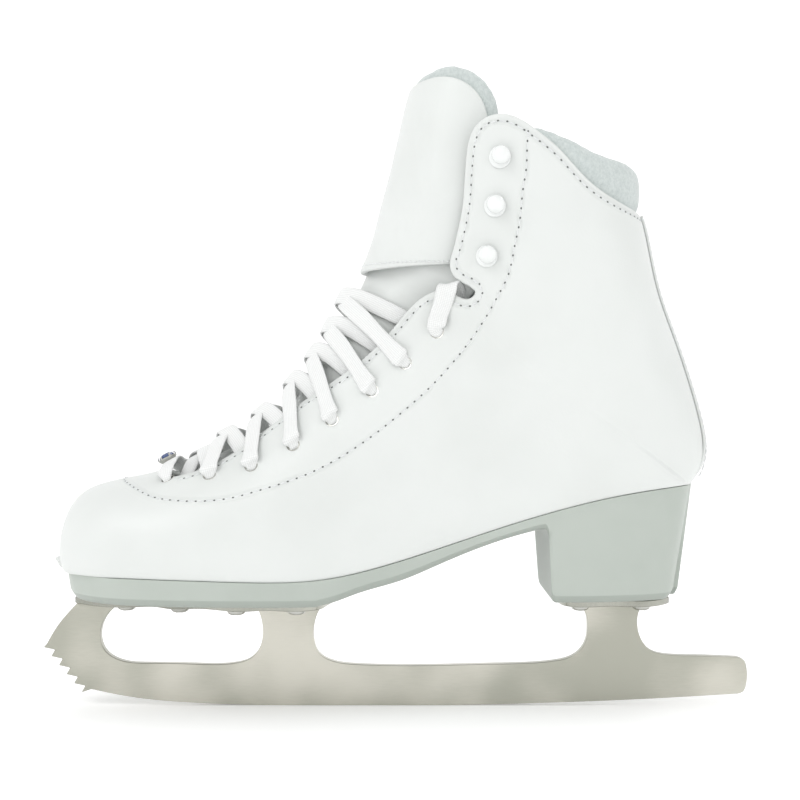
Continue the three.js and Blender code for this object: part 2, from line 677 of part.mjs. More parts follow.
function makeTongueBase() {
  const layer = bootSolid(tongueInset).subtract(bootSolid(tongueInset + tongueBaseThickness));
  const top = creaseHeight - 1;
  const lower = [[-104, 33], [-84, 36], [-62, 43], [-43, 55], [-20, 70], [0, 90], [16, 104], [22, top]];
  const region = smoothOutline(lower.map(bootPoint), [[-40, top], [-104, 60]].map(bootPoint));
  add('tongue_base', mainPiece(layer.intersect(sideSolid(region, reach))), whiteLeather);
}

// The upper tongue: a gutter with straight sides that passes between the flaps.
function tongueGutter(inset) {
  const rows = 12;
  const columns = 14;
  const low = above(creaseHeight - 12);
  const high = above(drawnHeight + 12);
  const ridge = [];
  for (let u = 10; u <= lastSection; u += 0.25) ridge.push(sectionAt(u).high);
  const ridgeAt = (z) => {
    const i = Math.max(1, ridge.findIndex((point) => point.y > z));
    const share = (z - ridge[i - 1].y) / (ridge[i].y - ridge[i - 1].y);
    return ridge[i - 1].x + (ridge[i].x - ridge[i - 1].x) * share;
  };
  const turn = columns - 2;
  return skinned((row, around) => {
    const z = low + (high - low) * row / rows;
    const spread = tongueFootHalfWidth + Math.max(0, z - above(creaseHeight)) * tongueSpread;
    const half = across(Math.min(tongueHalfWidth, spread)) - inset;
    const angle = (around * columns / turn - 0.5) * Math.PI;
    const front = ridgeAt(z) + inset;
    const back = front + tongueReach;
    const pastTurn = columns * around - turn;
    if (pastTurn > 1e-6) return new THREE.Vector3(back, half * (1 - pastTurn), z);
    const atEnd = around < 1e-9 || angle > Math.PI / 2 - 1e-6;
    const x = atEnd ? back : front + tongueCrown * (1 - Math.max(0, Math.cos(angle)) ** 0.9);
    return new THREE.Vector3(x, half * Math.sign(angle) * Math.abs(Math.sin(angle)) ** 0.9, z);
  }, rows, columns);
}

const tongueLeatherEdge = [
  [-40, creaseHeight], [22, creaseHeight + 2.2], [32, 135], [36, 155], [36.5, 172], [34, 184],
  [27, 192], [18, 194.6], [6, 194.2], [-40, 193],
];
const tonguePadEdge = [
  [-40, creaseHeight + 1], [24, creaseHeight + 3.4], [36, 138], [40.5, 158], [41, 174], [39, 188],
  [32, 197], [20, 200.8], [8, 199.5], [-40, 198],
];

function makeTongue() {
  const cutTo = (edge, solid) => {
    const points = edge.map(bootPoint);
    const last = points.length - 1;
    const shape = outline(points.slice(0, 2));
    shape.splineThru(points.slice(2, last));
    shape.lineTo(points[last].x, points[last].y);
    return mainPiece(solid.intersect(sideSolid(shape, reach, 2)));
  };
  const skin = tongueGutter(0).subtract(tongueGutter(tongueLeather));
  const pad = tongueGutter(tongueLeather + gap).subtract(tongueGutter(tongueLeather + gap + tonguePad));
  add('tongue_upper', cutTo(tongueLeatherEdge, skin), whiteLeather);
  add('tongue_padding', cutTo(tonguePadEdge, pad), greyFleece);
}

// ---------------------------------------------------------------- eyelets, hooks
function makeEyelets() {
  const inner = eyeletBore;
  const outer = eyeletBore + eyeletWall;
  const back = -leather - gap - eyeletSeat;
  const behind = back - eyeletRim;
  const profile = [
    [inner, behind], [eyeletFlange, behind], [eyeletFlange, back], [outer, back], [outer, -eyeletSunk],
    [inner, -eyeletSunk], [inner, behind],
  ];
  for (const [name, side] of Object.entries(sides)) {
    eyelets.forEach((spot, i) => {
      const { place, out } = skinFrame(spot, side);
      add(`eyelet_${name}_${i + 1}`, turned(profile, 10, place, out), nickel);
    });
  }
}

function makeHooks() {
  const inside = -leather - 0.8;
  const flange = gap + hookBase;
  const cap = hookHeight - hookCap;
  const profile = [
    [0, inside], [hookRivet, inside], [hookRivet, gap], [hookRadius, gap], [hookRadius, flange],
    [hookNeck, flange + 0.2], [hookNeck, cap - 0.2], [hookRadius, cap],
    [hookRadius * 0.8, cap + 0.625 * hookCap], [hookRadius * 0.4, cap + 0.94 * hookCap], [0, hookHeight],
  ];
  for (const [name, side] of Object.entries(sides)) {
    hooks.forEach((spot, i) => {
      const { place, out } = skinFrame(spot, side);
      add(`hook_${name}_${i + 1}`, turned(profile, 12, place, out), whiteEnamel);
    });
  }
}

// ---------------------------------------------------------------- lace
// Where the two halves of the lace cross on the ridge, from the toe up.
const crossings = [[-77, 48], [-68, 54], [-54, 62], [-41, 74.5], [-33, 86], [-27, 97], [-20.5, 107.5]];
const overLeather = laceThickness / 2 + laceLift;
const underLeather = -leather - eyeletSeat - 2 * gap - eyeletRim - laceThickness / 2 - 0.6 * laceSlack;
const inHoleWidth = 3;
const besideHole = 0.12 / along(1);    // of the way to the crossing, the same distance at any length
// Over the edge of the leather above the top eyelet, and down behind it.
const topRun = [
  [17.3, 102, overLeather], [18.2, 109.6, overLeather + 0.4], [18.6, 115, -leather / 3],
  [21, 108.4, -leather - 3],
];

// One end of a row of the lace: the skin's u and t, the height over the skin, the side and the width.
function laceStop(spot, lift, side, width = laceWidth) {
  const at = mirrored(skinPoint(spot.u, spot.t).addScaledVector(skinNormal(spot.u, spot.t), lift), side);
  const ahead = skinPoint(Math.min(spot.u + 0.1, lastSection), 0.5);
  const guide = ahead.sub(skinPoint(spot.u, 0.5)).normalize();
  return { at, guide, width };
}

const between = (from, to, share) => ({
  u: from.u + (to.u - from.u) * share,
  t: from.t + (to.t - from.t) * share,
});

// Half the lace, from the middle of the lowest bar to the inside of the top of the lacing.
function halfLace(firstSide) {
  const stops = [];
  const bar = { u: eyelets[0].u, t: 0.5 };
  const lifted = firstSide > 0 ? 2 * laceThickness : overLeather;
  const behind = -leather * 11 / 6;
  for (const share of [0.25, 0.55]) {
    stops.push(laceStop(between(bar, eyelets[0], share), overLeather, firstSide));
  }
  stops.push(laceStop(between(bar, eyelets[0], 0.86), overLeather, firstSide, inHoleWidth));
  const through = (spot, toward, side, heights) => heights.map(([lift, share]) => (
    laceStop(between(spot, toward, share), lift, side, inHoleWidth)));
  const up = [[underLeather, besideHole], [underLeather * 0.9, 0], [0.5, 0], [overLeather, besideHole]];
  crossings.forEach((crossing, i) => {
    const side = i % 2 === 0 ? firstSide : -firstSide;
    const middle = { ...onSkin(crossing), t: 0.5 };
    const [low, high] = [eyelets[i], eyelets[i + 1]];
    const inside = i === 0;
    if (inside) stops.push(...through(low, middle, side, up.slice(0, 3).reverse()));
    stops.push(laceStop(between(low, middle, 0.35), inside ? behind : overLeather, side));
    const top = inside ? lifted - leather - 1.8 : lifted;
    stops.push(laceStop(between(low, middle, 0.8), top, side));
    stops.push(laceStop(between(high, middle, 0.84), top, -side));
    stops.push(laceStop(between(high, middle, 0.5), behind, -side));
    stops.push(...through(high, middle, -side, up.slice(0, 3)));
    const next = i + 1 < crossings.length;
    if (next) stops.push(...through(high, { ...onSkin(crossings[i + 1]), t: 0.5 }, -side, up.slice(3)));
  });
  const lastSide = -firstSide;
  for (const [x, z, lift] of topRun) stops.push(laceStop(onSkin([x, z]), lift, lastSide));
  const upward = stops.length - topRun.length;
  stops.slice(upward - 2).forEach((stop) => stop.guide.set(1, 0, 0.2));
  return stops;
}

// A flat ribbon through stops, with a section of four corners.
function ribbon(stops, thickness) {
  const steps = stops.length - 1;
  const rings = stops.map(({ at, guide, width }, i) => {
    const before = stops[Math.max(i - 1, 0)].at;
    const after = stops[Math.min(i + 1, steps)].at;
    const run = after.clone().sub(before).normalize();
    const across = guide.clone().addScaledVector(run, -guide.dot(run)).normalize();
    const up = run.clone().cross(across);
    return [[1, 1], [-1, 1], [-1, -1], [1, -1]].map(([a, b]) => at.clone()
      .addScaledVector(across, a * width / 2).addScaledVector(up, b * thickness / 2));
  });
  return skinned((row, around) => rings[Math.round(row)][Math.round(around * 4) % 4].clone(), steps, 4);
}

function makeLace() {
  const near = halfLace(sides.near);
  const far = halfLace(sides.far);
  const middle = laceStop({ u: eyelets[0].u, t: 0.5 }, overLeather, 1);
  add('lace', ribbon([...far.reverse(), middle, ...near], laceThickness), whiteCotton);
}

// Each end of the lace is tucked down inside the boot and folded into a hank on the footbed.
const tailRoute = [
  [21.6, -24.4, 157], [23.4, -23.4, 149], [26.5, -21.5, 138], [28.6, -20, 125], [28.6, -18, 113],
  [26.6, -16.4, 103],
];
const hankLength = 100;
const hankWidth = 22;
const hankHeight = 7;
const hankSlope = 18;          // degrees, the slope of the footbed under it
const hankPlace = [38, 13, 89];
const agletRadius = 1.5;
const agletLength = 18;

function makeTails() {
  const tilt = (geometry, y, lift) => {
    geometry.rotateY(-THREE.MathUtils.degToRad(hankSlope));
    geometry.translate(hankPlace[0], y, hankPlace[2] + lift);
    return solidOf(geometry);
  };
  const straight = hankLength / 2 - hankWidth / 2;
  const stadium = new THREE.Shape();
  stadium.absarc(straight, 0, hankWidth / 2, -Math.PI / 2, Math.PI / 2);
  stadium.absarc(-straight, 0, hankWidth / 2, Math.PI / 2, Math.PI * 1.5);
  for (const [name, side] of Object.entries(sides)) {
    const stops = tailRoute.map(([x, y, z]) => ({
      at: new THREE.Vector3(x, y * side, z), guide: new THREE.Vector3(1, 0, 0), width: laceWidth,
    }));
    add(`lace_tail_${name}`, ribbon(stops, laceThickness), whiteCotton);
    const settings = { depth: hankHeight, bevelEnabled: false, curveSegments: 5 };
    const hank = new THREE.ExtrudeGeometry(stadium, settings);
    add(`lace_hank_${name}`, tilt(hank, -side * hankPlace[1], 0), whiteCotton);
    const aglet = new THREE.CylinderGeometry(agletRadius, agletRadius, agletLength, 8);
    aglet.rotateZ(Math.PI / 2);
    add(`aglet_${name}`, tilt(aglet, -side * hankPlace[1], hankHeight + agletRadius + 2 * gap), nickel);
  }
}

// ---------------------------------------------------------------- crystal on the lowest bar
function makeCharm() {
  const spot = { u: eyelets[0].u, t: 0.5 };
  const out = skinNormal(spot.u, spot.t);
  const base = skinPoint(spot.u, spot.t).addScaledVector(out, overLeather + laceThickness / 2 + gap);
  const [inner, outer] = [gemRadius + gap, gemRadius + 0.7];
  const cup = [
    [0, 0], [gemRadius * 0.8, 0], [outer, 1.2], [outer, 3], [inner, 3], [inner, 1.5], [gemRadius * 0.7, 0.8],
    [0, 0.8],
  ];
  const crystal = [
    [0, 1.1], [gemRadius * 0.6, 1.2], [gemRadius, 2.4], [gemRadius, 3.1], [gemRadius * 0.55, 4.3], [0, 4.3],
  ];
  add('charm_setting', turned(cup, 12, base, out), nickel);
  add('charm_crystal', turned(crystal, 8, base, out), blueCrystal);
}

makeBlade();
makePlates();
makeScrews();
makeOutsole();
makeShank();
makeFootLayers();
makeUpper();
makeStiffeners();
makeLining();
makeCollar();
makeBackstay();
makeTongueBase();
makeTongue();
makeEyelets();
makeHooks();
makeLace();
makeTails();
makeCharm();

export default skate;
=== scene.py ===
import math

import bmesh
import bpy
import numpy as np
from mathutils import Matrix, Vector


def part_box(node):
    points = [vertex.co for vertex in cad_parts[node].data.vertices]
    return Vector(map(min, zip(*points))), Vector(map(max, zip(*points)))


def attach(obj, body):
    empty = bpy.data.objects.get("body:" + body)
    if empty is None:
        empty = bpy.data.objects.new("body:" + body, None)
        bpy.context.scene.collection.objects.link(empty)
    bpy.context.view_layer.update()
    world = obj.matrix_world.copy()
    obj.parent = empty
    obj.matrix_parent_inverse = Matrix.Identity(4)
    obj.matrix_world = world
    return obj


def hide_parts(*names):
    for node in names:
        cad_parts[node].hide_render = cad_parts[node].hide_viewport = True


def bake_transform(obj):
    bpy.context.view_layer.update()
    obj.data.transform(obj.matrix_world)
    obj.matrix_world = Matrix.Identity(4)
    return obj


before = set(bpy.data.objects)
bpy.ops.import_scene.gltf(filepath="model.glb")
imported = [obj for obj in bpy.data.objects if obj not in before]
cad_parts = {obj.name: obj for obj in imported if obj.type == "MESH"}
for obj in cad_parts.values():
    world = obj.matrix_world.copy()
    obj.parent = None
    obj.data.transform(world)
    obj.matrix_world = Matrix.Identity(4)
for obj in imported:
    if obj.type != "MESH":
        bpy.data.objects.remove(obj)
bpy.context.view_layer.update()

# A ladies' figure skate. Lengths below are millimetres, and meshes are written in metres.
# The toe points to -x, the near side is -y and the ice is at z = 0.
mm = 0.001
gap = 0.3                     # between layers that touch
outsoleDepth = 10.7           # moulded sole under the ball of the foot
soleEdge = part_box("sole_plate")[1][2] / mm + gap + outsoleDepth   # drawn heights count from here
boot, tongue = "boot", "tongue"


# ---- shader wires: a socket that does sums
class Wire:
    def __init__(self, tree, socket=None):
        self.tree = tree
        self.socket = socket

    def node(self, kind, settings=None, sockets=None, out=0):
        made = self.tree.nodes.new(kind)
        for name, value in (settings or {}).items():
            if name == "stops":
                fillRamp(made.color_ramp, value)
            else:
                setattr(made, name, value)
        for key, value in (sockets or {}).items():
            if isinstance(value, Wire):
                self.tree.links.new(value.socket, made.inputs[key])
            else:
                made.inputs[key].default_value = value
        return Wire(self.tree, made.outputs[out])

    def sums(self, operation, *values):
        return self.node("ShaderNodeMath", {"operation": operation}, dict(enumerate(values)))

    def __add__(self, other):
        return self.sums("ADD", self, other)

    def __sub__(self, other):
        return self.sums("SUBTRACT", self, other)

    def __rsub__(self, other):
        return self.sums("SUBTRACT", other, self)

    def __mul__(self, other):
        return self.sums("MULTIPLY", self, other)

    def sine(self):
        return self.sums("SINE", self)

    def bands(self, low, high):          # 0 under low, 1 over high
        return self.node("ShaderNodeMapRange", {"interpolation_type": "SMOOTHSTEP"},
                         {0: self, 1: low, 2: high, 3: 0.0, 4: 1.0})

    def tint(self, first, second):       # a colour between two, this wire is the share
        return self.node("ShaderNodeMix", {"data_type": "RGBA"}, {0: self, 6: first, 7: second}, out=2)


def fillRamp(ramp, stops):
    while len(ramp.elements) < len(stops):
        ramp.elements.new(1.0)
    for element, (place, colour) in zip(ramp.elements, stops):
        element.position = place
        element.color = colour


def rgb(red, green, blue):
    return (red, green, blue, 1.0)


def noise(wire, scale, detail=3.0, roughness=0.55, stretch=None):
    place = wire.node("ShaderNodeTexCoord", out=3)
    if stretch:
        place = place.node("ShaderNodeMapping", None, {0: place, 3: stretch})
    return wire.node("ShaderNodeTexNoise", None, {"Vector": place, "Scale": scale, "Detail": detail,
                                                  "Roughness": roughness})


def stored(wire, name):
    return wire.node("ShaderNodeAttribute", {"attribute_name": name}, out=2)


def bump(wire, height, distance, strength, under=None):
    sockets = {"Strength": strength, "Distance": distance, "Height": height}
    if under is not None:
        sockets["Normal"] = under
    return wire.node("ShaderNodeBump", None, sockets)


# A material: fixed values go straight onto the shader, and wires into the sockets that may vary.
def finish(name, fixed, build=None):
    material = bpy.data.materials.new(name)
    material.use_nodes = True
    tree = material.node_tree
    shader = tree.nodes["Principled BSDF"]
    for socket, value in fixed.items():
        shader.inputs[socket].default_value = value
    wire = Wire(tree)
    for socket, value in (build(wire) if build else {}).items():
        tree.links.new(value.socket, shader.inputs[socket])
    return material


# seam is a grey painted along the seam lines, as the shade in their stitched groove
leatherLook = dict(white=rgb(0.700, 0.722, 0.706), shade=rgb(0.668, 0.690, 0.672),
                   seam=rgb(0.50, 0.53, 0.52), grain=1500.0, pores=900.0, grainDepth=0.00006, roughness=0.42)


def whiteLeather(seamed):
    def build(wire):
        broad = noise(wire, 22.0, 2.0)
        grain = noise(wire, leatherLook["grain"], 4.0, 0.6)
        pores = wire.node("ShaderNodeTexVoronoi", None, {
            "Vector": wire.node("ShaderNodeTexCoord", out=3), "Scale": leatherLook["pores"]})
        colour = broad.bands(0.35, 0.7).tint(leatherLook["white"], leatherLook["shade"])
        height = grain * 0.5 + pores * 0.6
        normal = bump(wire, height, leatherLook["grainDepth"], 0.5)
        if seamed:
            # Painted shade: within 0.75 mm of a seam line the white is tinted towards the seam grey, as the
            # shade that falls in the stitched groove.
            near = stored(wire, "seam")
            crease = 1 - near.bands(0.0, 0.75)
            colour = (crease * 0.55).tint(colour, leatherLook["seam"])
            normal = bump(wire, 1 - near.bands(0.1, 1.6), 0.0005, 0.8, normal)
        rough = grain * 0.14 + (leatherLook["roughness"] - 0.07)
        return {"Base Color": colour, "Roughness": rough, "Normal": normal}
    return finish("leather seam shaded" if seamed else "leather", {
        "Specular IOR Level": 0.45, "Coat Weight": 0.12, "Coat Roughness": 0.3}, build)


fleeceLook = dict(light=rgb(0.60, 0.645, 0.63), dark=rgb(0.48, 0.53, 0.52), fibre=rgb(0.72, 0.76, 0.75))


def greyFleece():
    def build(wire):
        fibres = noise(wire, 2400.0, 5.0, 0.7, (1.0, 1.0, 0.45))
        tufts = noise(wire, 760.0, 4.0, 0.65)
        broad = noise(wire, 45.0, 2.0)
        colour = (tufts * 0.6 + fibres * 0.4).bands(0.34, 0.66).tint(fleeceLook["dark"], fleeceLook["light"])
        colour = fibres.bands(0.62, 0.74).tint(colour, fleeceLook["fibre"])
        normal = bump(wire, fibres * 0.5 + tufts * 0.9 + broad * 0.3, 0.0003, 0.9)
        return {"Base Color": colour, "Normal": normal}
    return finish("brushed fleece", {"Roughness": 0.95, "Specular IOR Level": 0.15, "Sheen Weight": 0.35,
                                     "Sheen Roughness": 0.5}, build)


# bevel is a darker grey painted on the bevel under the sole, as shade
soleLook = dict(face=rgb(0.450, 0.490, 0.450), shade=rgb(0.425, 0.465, 0.425), bevel=rgb(0.36, 0.395, 0.36),
                roughness=0.46)


def greySole():
    def build(wire):
        speck = noise(wire, 1500.0, 3.0, 0.6)
        broad = noise(wire, 35.0, 3.0)
        # Painted shade: the bevel that turns in under the sole is tinted towards the darker bevel grey.
        low = stored(wire, "bevel")
        colour = broad.bands(0.3, 0.75).tint(soleLook["face"], soleLook["shade"])
        colour = low.tint(colour, soleLook["bevel"])
        return {"Base Color": colour, "Roughness": speck * 0.12 + (soleLook["roughness"] - 0.06),
                "Normal": bump(wire, speck, 0.00005, 0.5)}
    return finish("moulded sole", {"Specular IOR Level": 0.4}, build)


bladeLook = dict(warm=rgb(0.60, 0.585, 0.52), cool=rgb(0.40, 0.40, 0.345), roughness=0.3)


def satinSteel(name, warm, cool, roughness, stretch):
    def build(wire):
        lines = noise(wire, 900.0, 4.0, 0.6, stretch)
        broad = noise(wire, 18.0, 2.0)
        colour = (broad * 0.93 + lines * 0.07).bands(0.36, 0.62).tint(warm, cool)
        return {"Base Color": colour, "Roughness": lines * 0.12 + (roughness - 0.05),
                "Normal": bump(wire, lines, 0.00001, 0.4)}
    return finish(name, {"Metallic": 1.0}, build)


laceLook = dict(shade=rgb(0.72, 0.735, 0.725), white=rgb(0.84, 0.845, 0.84), alongTurns=5.2, acrossTurns=4.0)


def whiteLace():
    def build(wire):
        along = stored(wire, "along") * laceLook["alongTurns"]
        across = stored(wire, "across") * laceLook["acrossTurns"]
        weave = ((along + across).sine() * (along - across).sine()) * 0.5 + 0.5
        fine = noise(wire, 2400.0, 2.0)
        shade = (weave * 0.7 + fine * 0.3).bands(0.2, 0.8)
        colour = shade.tint(laceLook["shade"], laceLook["white"])
        return {"Base Color": colour, "Normal": bump(wire, weave * 0.8 + fine * 0.4, 0.00018, 0.7)}
    return finish("woven lace", {"Roughness": 0.85, "Specular IOR Level": 0.2, "Sheen Weight": 0.2}, build)


def plain(name, colour, roughness, grain=0.0, scale=600.0, shade=0.8, **fixed):
    def build(wire):
        speck = noise(wire, scale, 3.0)
        dark = tuple(shade * part for part in colour[:3]) + (1.0,)
        wires = {"Base Color": speck.bands(0.25, 0.75).tint(dark, colour),
                 "Roughness": speck * 0.1 + (roughness - 0.05)}
        if grain:
            wires["Normal"] = bump(wire, speck, grain, 0.6)
        return wires
    return finish(name, fixed, build)


leatherSeamShaded = whiteLeather(True)
leatherPlain = whiteLeather(False)
fleece = greyFleece()
soleRubber = greySole()
bladeSteel = satinSteel("satin blade", bladeLook["warm"], bladeLook["cool"], bladeLook["roughness"],
                        (0.25, 1.0, 2.0))
plateSteel = satinSteel("plate steel", rgb(0.46, 0.46, 0.41), rgb(0.28, 0.285, 0.25), 0.24, (1.0, 0.3, 1.0))
springSteel = satinSteel("spring steel", rgb(0.3, 0.31, 0.32), rgb(0.22, 0.23, 0.24), 0.42, (0.3, 1.0, 1.0))
nickel = satinSteel("nickel", rgb(0.60, 0.60, 0.57), rgb(0.42, 0.42, 0.39), 0.2, (1.0, 1.0, 1.0))
enamel = plain("white enamel", rgb(0.80, 0.82, 0.81), 0.22, shade=0.97, scale=90.0,
               **{"Coat Weight": 0.5, "Coat Roughness": 0.08})
lace = whiteLace()
thread = plain("white thread", rgb(0.80, 0.82, 0.82), 0.7, grain=0.00005, scale=3000.0)
# near-black discs at the needle holes: painted shade where each hole is
holeShade = plain("needle hole shade", rgb(0.16, 0.17, 0.165), 0.9, grain=0.00003, scale=2000.0)
fibreBoard = plain("fibre board", rgb(0.35, 0.25, 0.16), 0.9, grain=0.0002, scale=900.0)
stiffSheet = plain("stiffener sheet", rgb(0.68, 0.63, 0.54), 0.7, grain=0.0001, scale=500.0)
crystalBlue = plain("dark blue crystal", rgb(0.012, 0.05, 0.20), 0.06, scale=400.0,
                    **{"Coat Weight": 1.0, "Coat Roughness": 0.02, "Specular IOR Level": 0.9})
print("finishes made")


# ---- camera, light and floor
studio = dict(eye=(1.83, -580.0, 123.8), frameWidth=325.2, sensor=36.0, sky=0.82, key=4.0, top=2.6, side=0.9)
# each ring of the floor: how far out it is and how high, in metres
floorRings = [(0.6, 0.0), (1.5, 0.0), (2.4, 0.0), (2.9, 0.12), (3.2, 0.5), (3.3, 1.2), (3.3, 2.0)]


def makeStudio():
    camera = bpy.data.cameras.new("camera")
    camera.sensor_width = studio["sensor"]
    camera.lens = studio["sensor"] * -studio["eye"][1] / studio["frameWidth"]
    camera.clip_start = 0.01
    holder = bpy.data.objects.new("camera", camera)
    holder.location = [part * mm for part in studio["eye"]]
    holder.rotation_euler = (math.pi / 2, 0, 0)
    bpy.context.collection.objects.link(holder)
    bpy.context.scene.camera = holder
    bpy.context.scene.view_settings.view_transform = "Standard"

    world = bpy.data.worlds.new("studio")
    world.use_nodes = True
    world.node_tree.nodes["Background"].inputs["Color"].default_value = rgb(1.0, 1.0, 1.0)
    world.node_tree.nodes["Background"].inputs["Strength"].default_value = studio["sky"]
    bpy.context.scene.world = world

    for name, place, aim, size, power in [
        ("key", (-0.75, -0.75, 1.05), (0.0, 0.0, 0.12), 0.7, studio["key"]),
        ("top", (0.15, 0.35, 1.35), (0.0, 0.0, 0.1), 0.9, studio["top"]),
        ("side", (1.0, -0.6, 0.5), (0.0, 0.0, 0.1), 0.6, studio["side"]),
    ]:
        light = bpy.data.lights.new(name, "AREA")
        light.size = size
        light.energy = power
        lamp = bpy.data.objects.new(name, light)
        lamp.location = place
        away = np.array(place) - np.array(aim)
        lamp.rotation_euler = (math.atan2(math.hypot(away[0], away[1]), away[2]), 0.0,
                               math.atan2(away[1], away[0]) + math.pi / 2)
        bpy.context.collection.objects.link(lamp)

    floorMesh = bpy.data.meshes.new("floor")
    spokes = 96
    points = [(r * math.cos(2 * math.pi * k / spokes), r * math.sin(2 * math.pi * k / spokes), z)
              for r, z in floorRings for k in range(spokes)] + [(0.0, 0.0, 0.0)]
    faces = [(len(points) - 1, k, (k + 1) % spokes) for k in range(spokes)]
    for ring in range(len(floorRings) - 1):
        for k in range(spokes):
            first, second = ring * spokes + k, ring * spokes + (k + 1) % spokes
            faces.append((first, first + spokes, second + spokes, second))
    floorMesh.from_pydata(points, [], faces)
    floorMesh.shade_smooth()
    floor = bpy.data.objects.new("floor", floorMesh)
    bpy.context.collection.objects.link(floor)
    floorMesh.materials.append(finish("pale floor", {
        "Base Color": rgb(0.93, 0.93, 0.93), "Roughness": 0.9, "Specular IOR Level": 0.1,
        "Emission Color": rgb(1.0, 1.0, 1.0), "Emission Strength": 0.22}))


makeStudio()
print("studio made")


# ---- mesh helpers
def addMesh(name, points, faces, material, layers=None, sharp=50.0):
    mesh = bpy.data.meshes.new(name)
    mesh.from_pydata((np.asarray(points, float) * mm).tolist(), [], [list(map(int, face)) for face in faces])
    for layer, values in (layers or {}).items():
        mesh.attributes.new(layer, "FLOAT", "POINT").data.foreach_set("value", np.asarray(values, np.float32))
    mesh.materials.append(material)
    tidy = bmesh.new()
    tidy.from_mesh(mesh)
    bmesh.ops.remove_doubles(tidy, verts=tidy.verts, dist=2e-6)
    bmesh.ops.dissolve_degenerate(tidy, edges=tidy.edges, dist=1e-7)
    bmesh.ops.recalc_face_normals(tidy, faces=tidy.faces)
    tidy.to_mesh(mesh)
    tidy.free()
    mesh.shade_smooth()
    mesh.set_sharp_from_angle(angle=math.radians(sharp))
    piece = bpy.data.objects.new(name, mesh)
    bpy.context.collection.objects.link(piece)
    return piece


def applyModifiers(piece):
    bpy.context.view_layer.update()
    shown = piece.evaluated_get(bpy.context.evaluated_depsgraph_get())
    made = bpy.data.meshes.new_from_object(shown)
    piece.modifiers.clear()
    piece.data = made
    return piece


def bevelled(piece, width, segments, angle):
    bevel = piece.modifiers.new("bevel", "BEVEL")
    bevel.width = width * mm
    bevel.segments = segments
    bevel.limit_method = "ANGLE"
    bevel.angle_limit = math.radians(angle)
    bevel.harden_normals = True
    return applyModifiers(piece)


def tubeFaces(rings, sides, capped=True):   # faces round a row of rings with the same number of points
    faces = []
    for ring in range(rings - 1):
        for k in range(sides):
            a, b = ring * sides + k, ring * sides + (k + 1) % sides
            faces.append((a, b, b + sides, a + sides))
    if capped:
        faces.append(tuple(range(sides))[::-1])
        faces.append(tuple(range((rings - 1) * sides, rings * sides)))
    return faces


def bendsOf(values, knots):              # second derivatives of a natural cubic
    count = len(values)
    step = np.diff(knots)
    system = np.eye(count)
    right = np.zeros_like(values)
    for i in range(1, count - 1):
        system[i, i - 1:i + 2] = step[i - 1], 2 * (step[i - 1] + step[i]), step[i]
        right[i] = 6 * ((values[i + 1] - values[i]) / step[i] - (values[i] - values[i - 1]) / step[i - 1])
    return np.linalg.solve(system, right)


def cubicAt(values, bends, knots, places):
    i = np.clip(np.searchsorted(knots, places, "right") - 1, 0, len(knots) - 2)
    step = (knots[i + 1] - knots[i])[..., None]
    t = np.asarray(places)[..., None] - knots[i][..., None]
    a, b = (step - t) / step, t / step
    return (a * values[i] + b * values[i + 1]
            + ((a ** 3 - a) * bends[i] + (b ** 3 - b) * bends[i + 1]) * step ** 2 / 6)


def measure(points):                     # distance along a line of points
    return np.concatenate([[0], np.cumsum(np.linalg.norm(np.diff(points, axis=0), axis=1))])


def smoothLine(points, step, extra=None):   # a smooth line through points, one place every step
    points = np.array(points, float)
    knots = measure(points)
    values = points if extra is None else np.hstack([points, extra])
    places = np.linspace(0, knots[-1], max(2, math.ceil(knots[-1] / step)) + 1)
    return cubicAt(values, bendsOf(values, knots), knots, places)


def evenly(points, step):                # places a step apart along a line of points
    along = measure(points)
    places = np.arange(0.0, along[-1], step)
    return np.stack([np.interp(places, along, points[:, k]) for k in range(points.shape[1])], axis=1)


def lineDistance(places, line, closed=False):   # distance to a side-view line
    best = np.full(len(places), 1e9)
    ends = np.roll(line, -1, axis=0) if closed else line[1:]
    for a, b in zip(line, ends):
        run = b - a
        size = run @ run
        if size < 1e-12:
            continue
        share = np.clip(((places - a) @ run) / size, 0, 1)
        miss = places - a - share[:, None] * run
        best = np.minimum(best, (miss ** 2).sum(axis=1))
    return np.sqrt(best)


def insideBy(places, outline):           # above zero inside a closed side-view outline
    away = lineDistance(places, outline, True)
    inside = np.zeros(len(places), bool)
    for (ax, az), (bx, bz) in zip(outline, np.roll(outline, -1, axis=0)):
        spans = (az > places[:, 1]) != (bz > places[:, 1])
        rise = bz - az if abs(bz - az) > 1e-12 else 1e-12
        inside ^= spans & (places[:, 0] < (bx - ax) * (places[:, 1] - az) / rise + ax)
    return np.where(inside, away, -away)


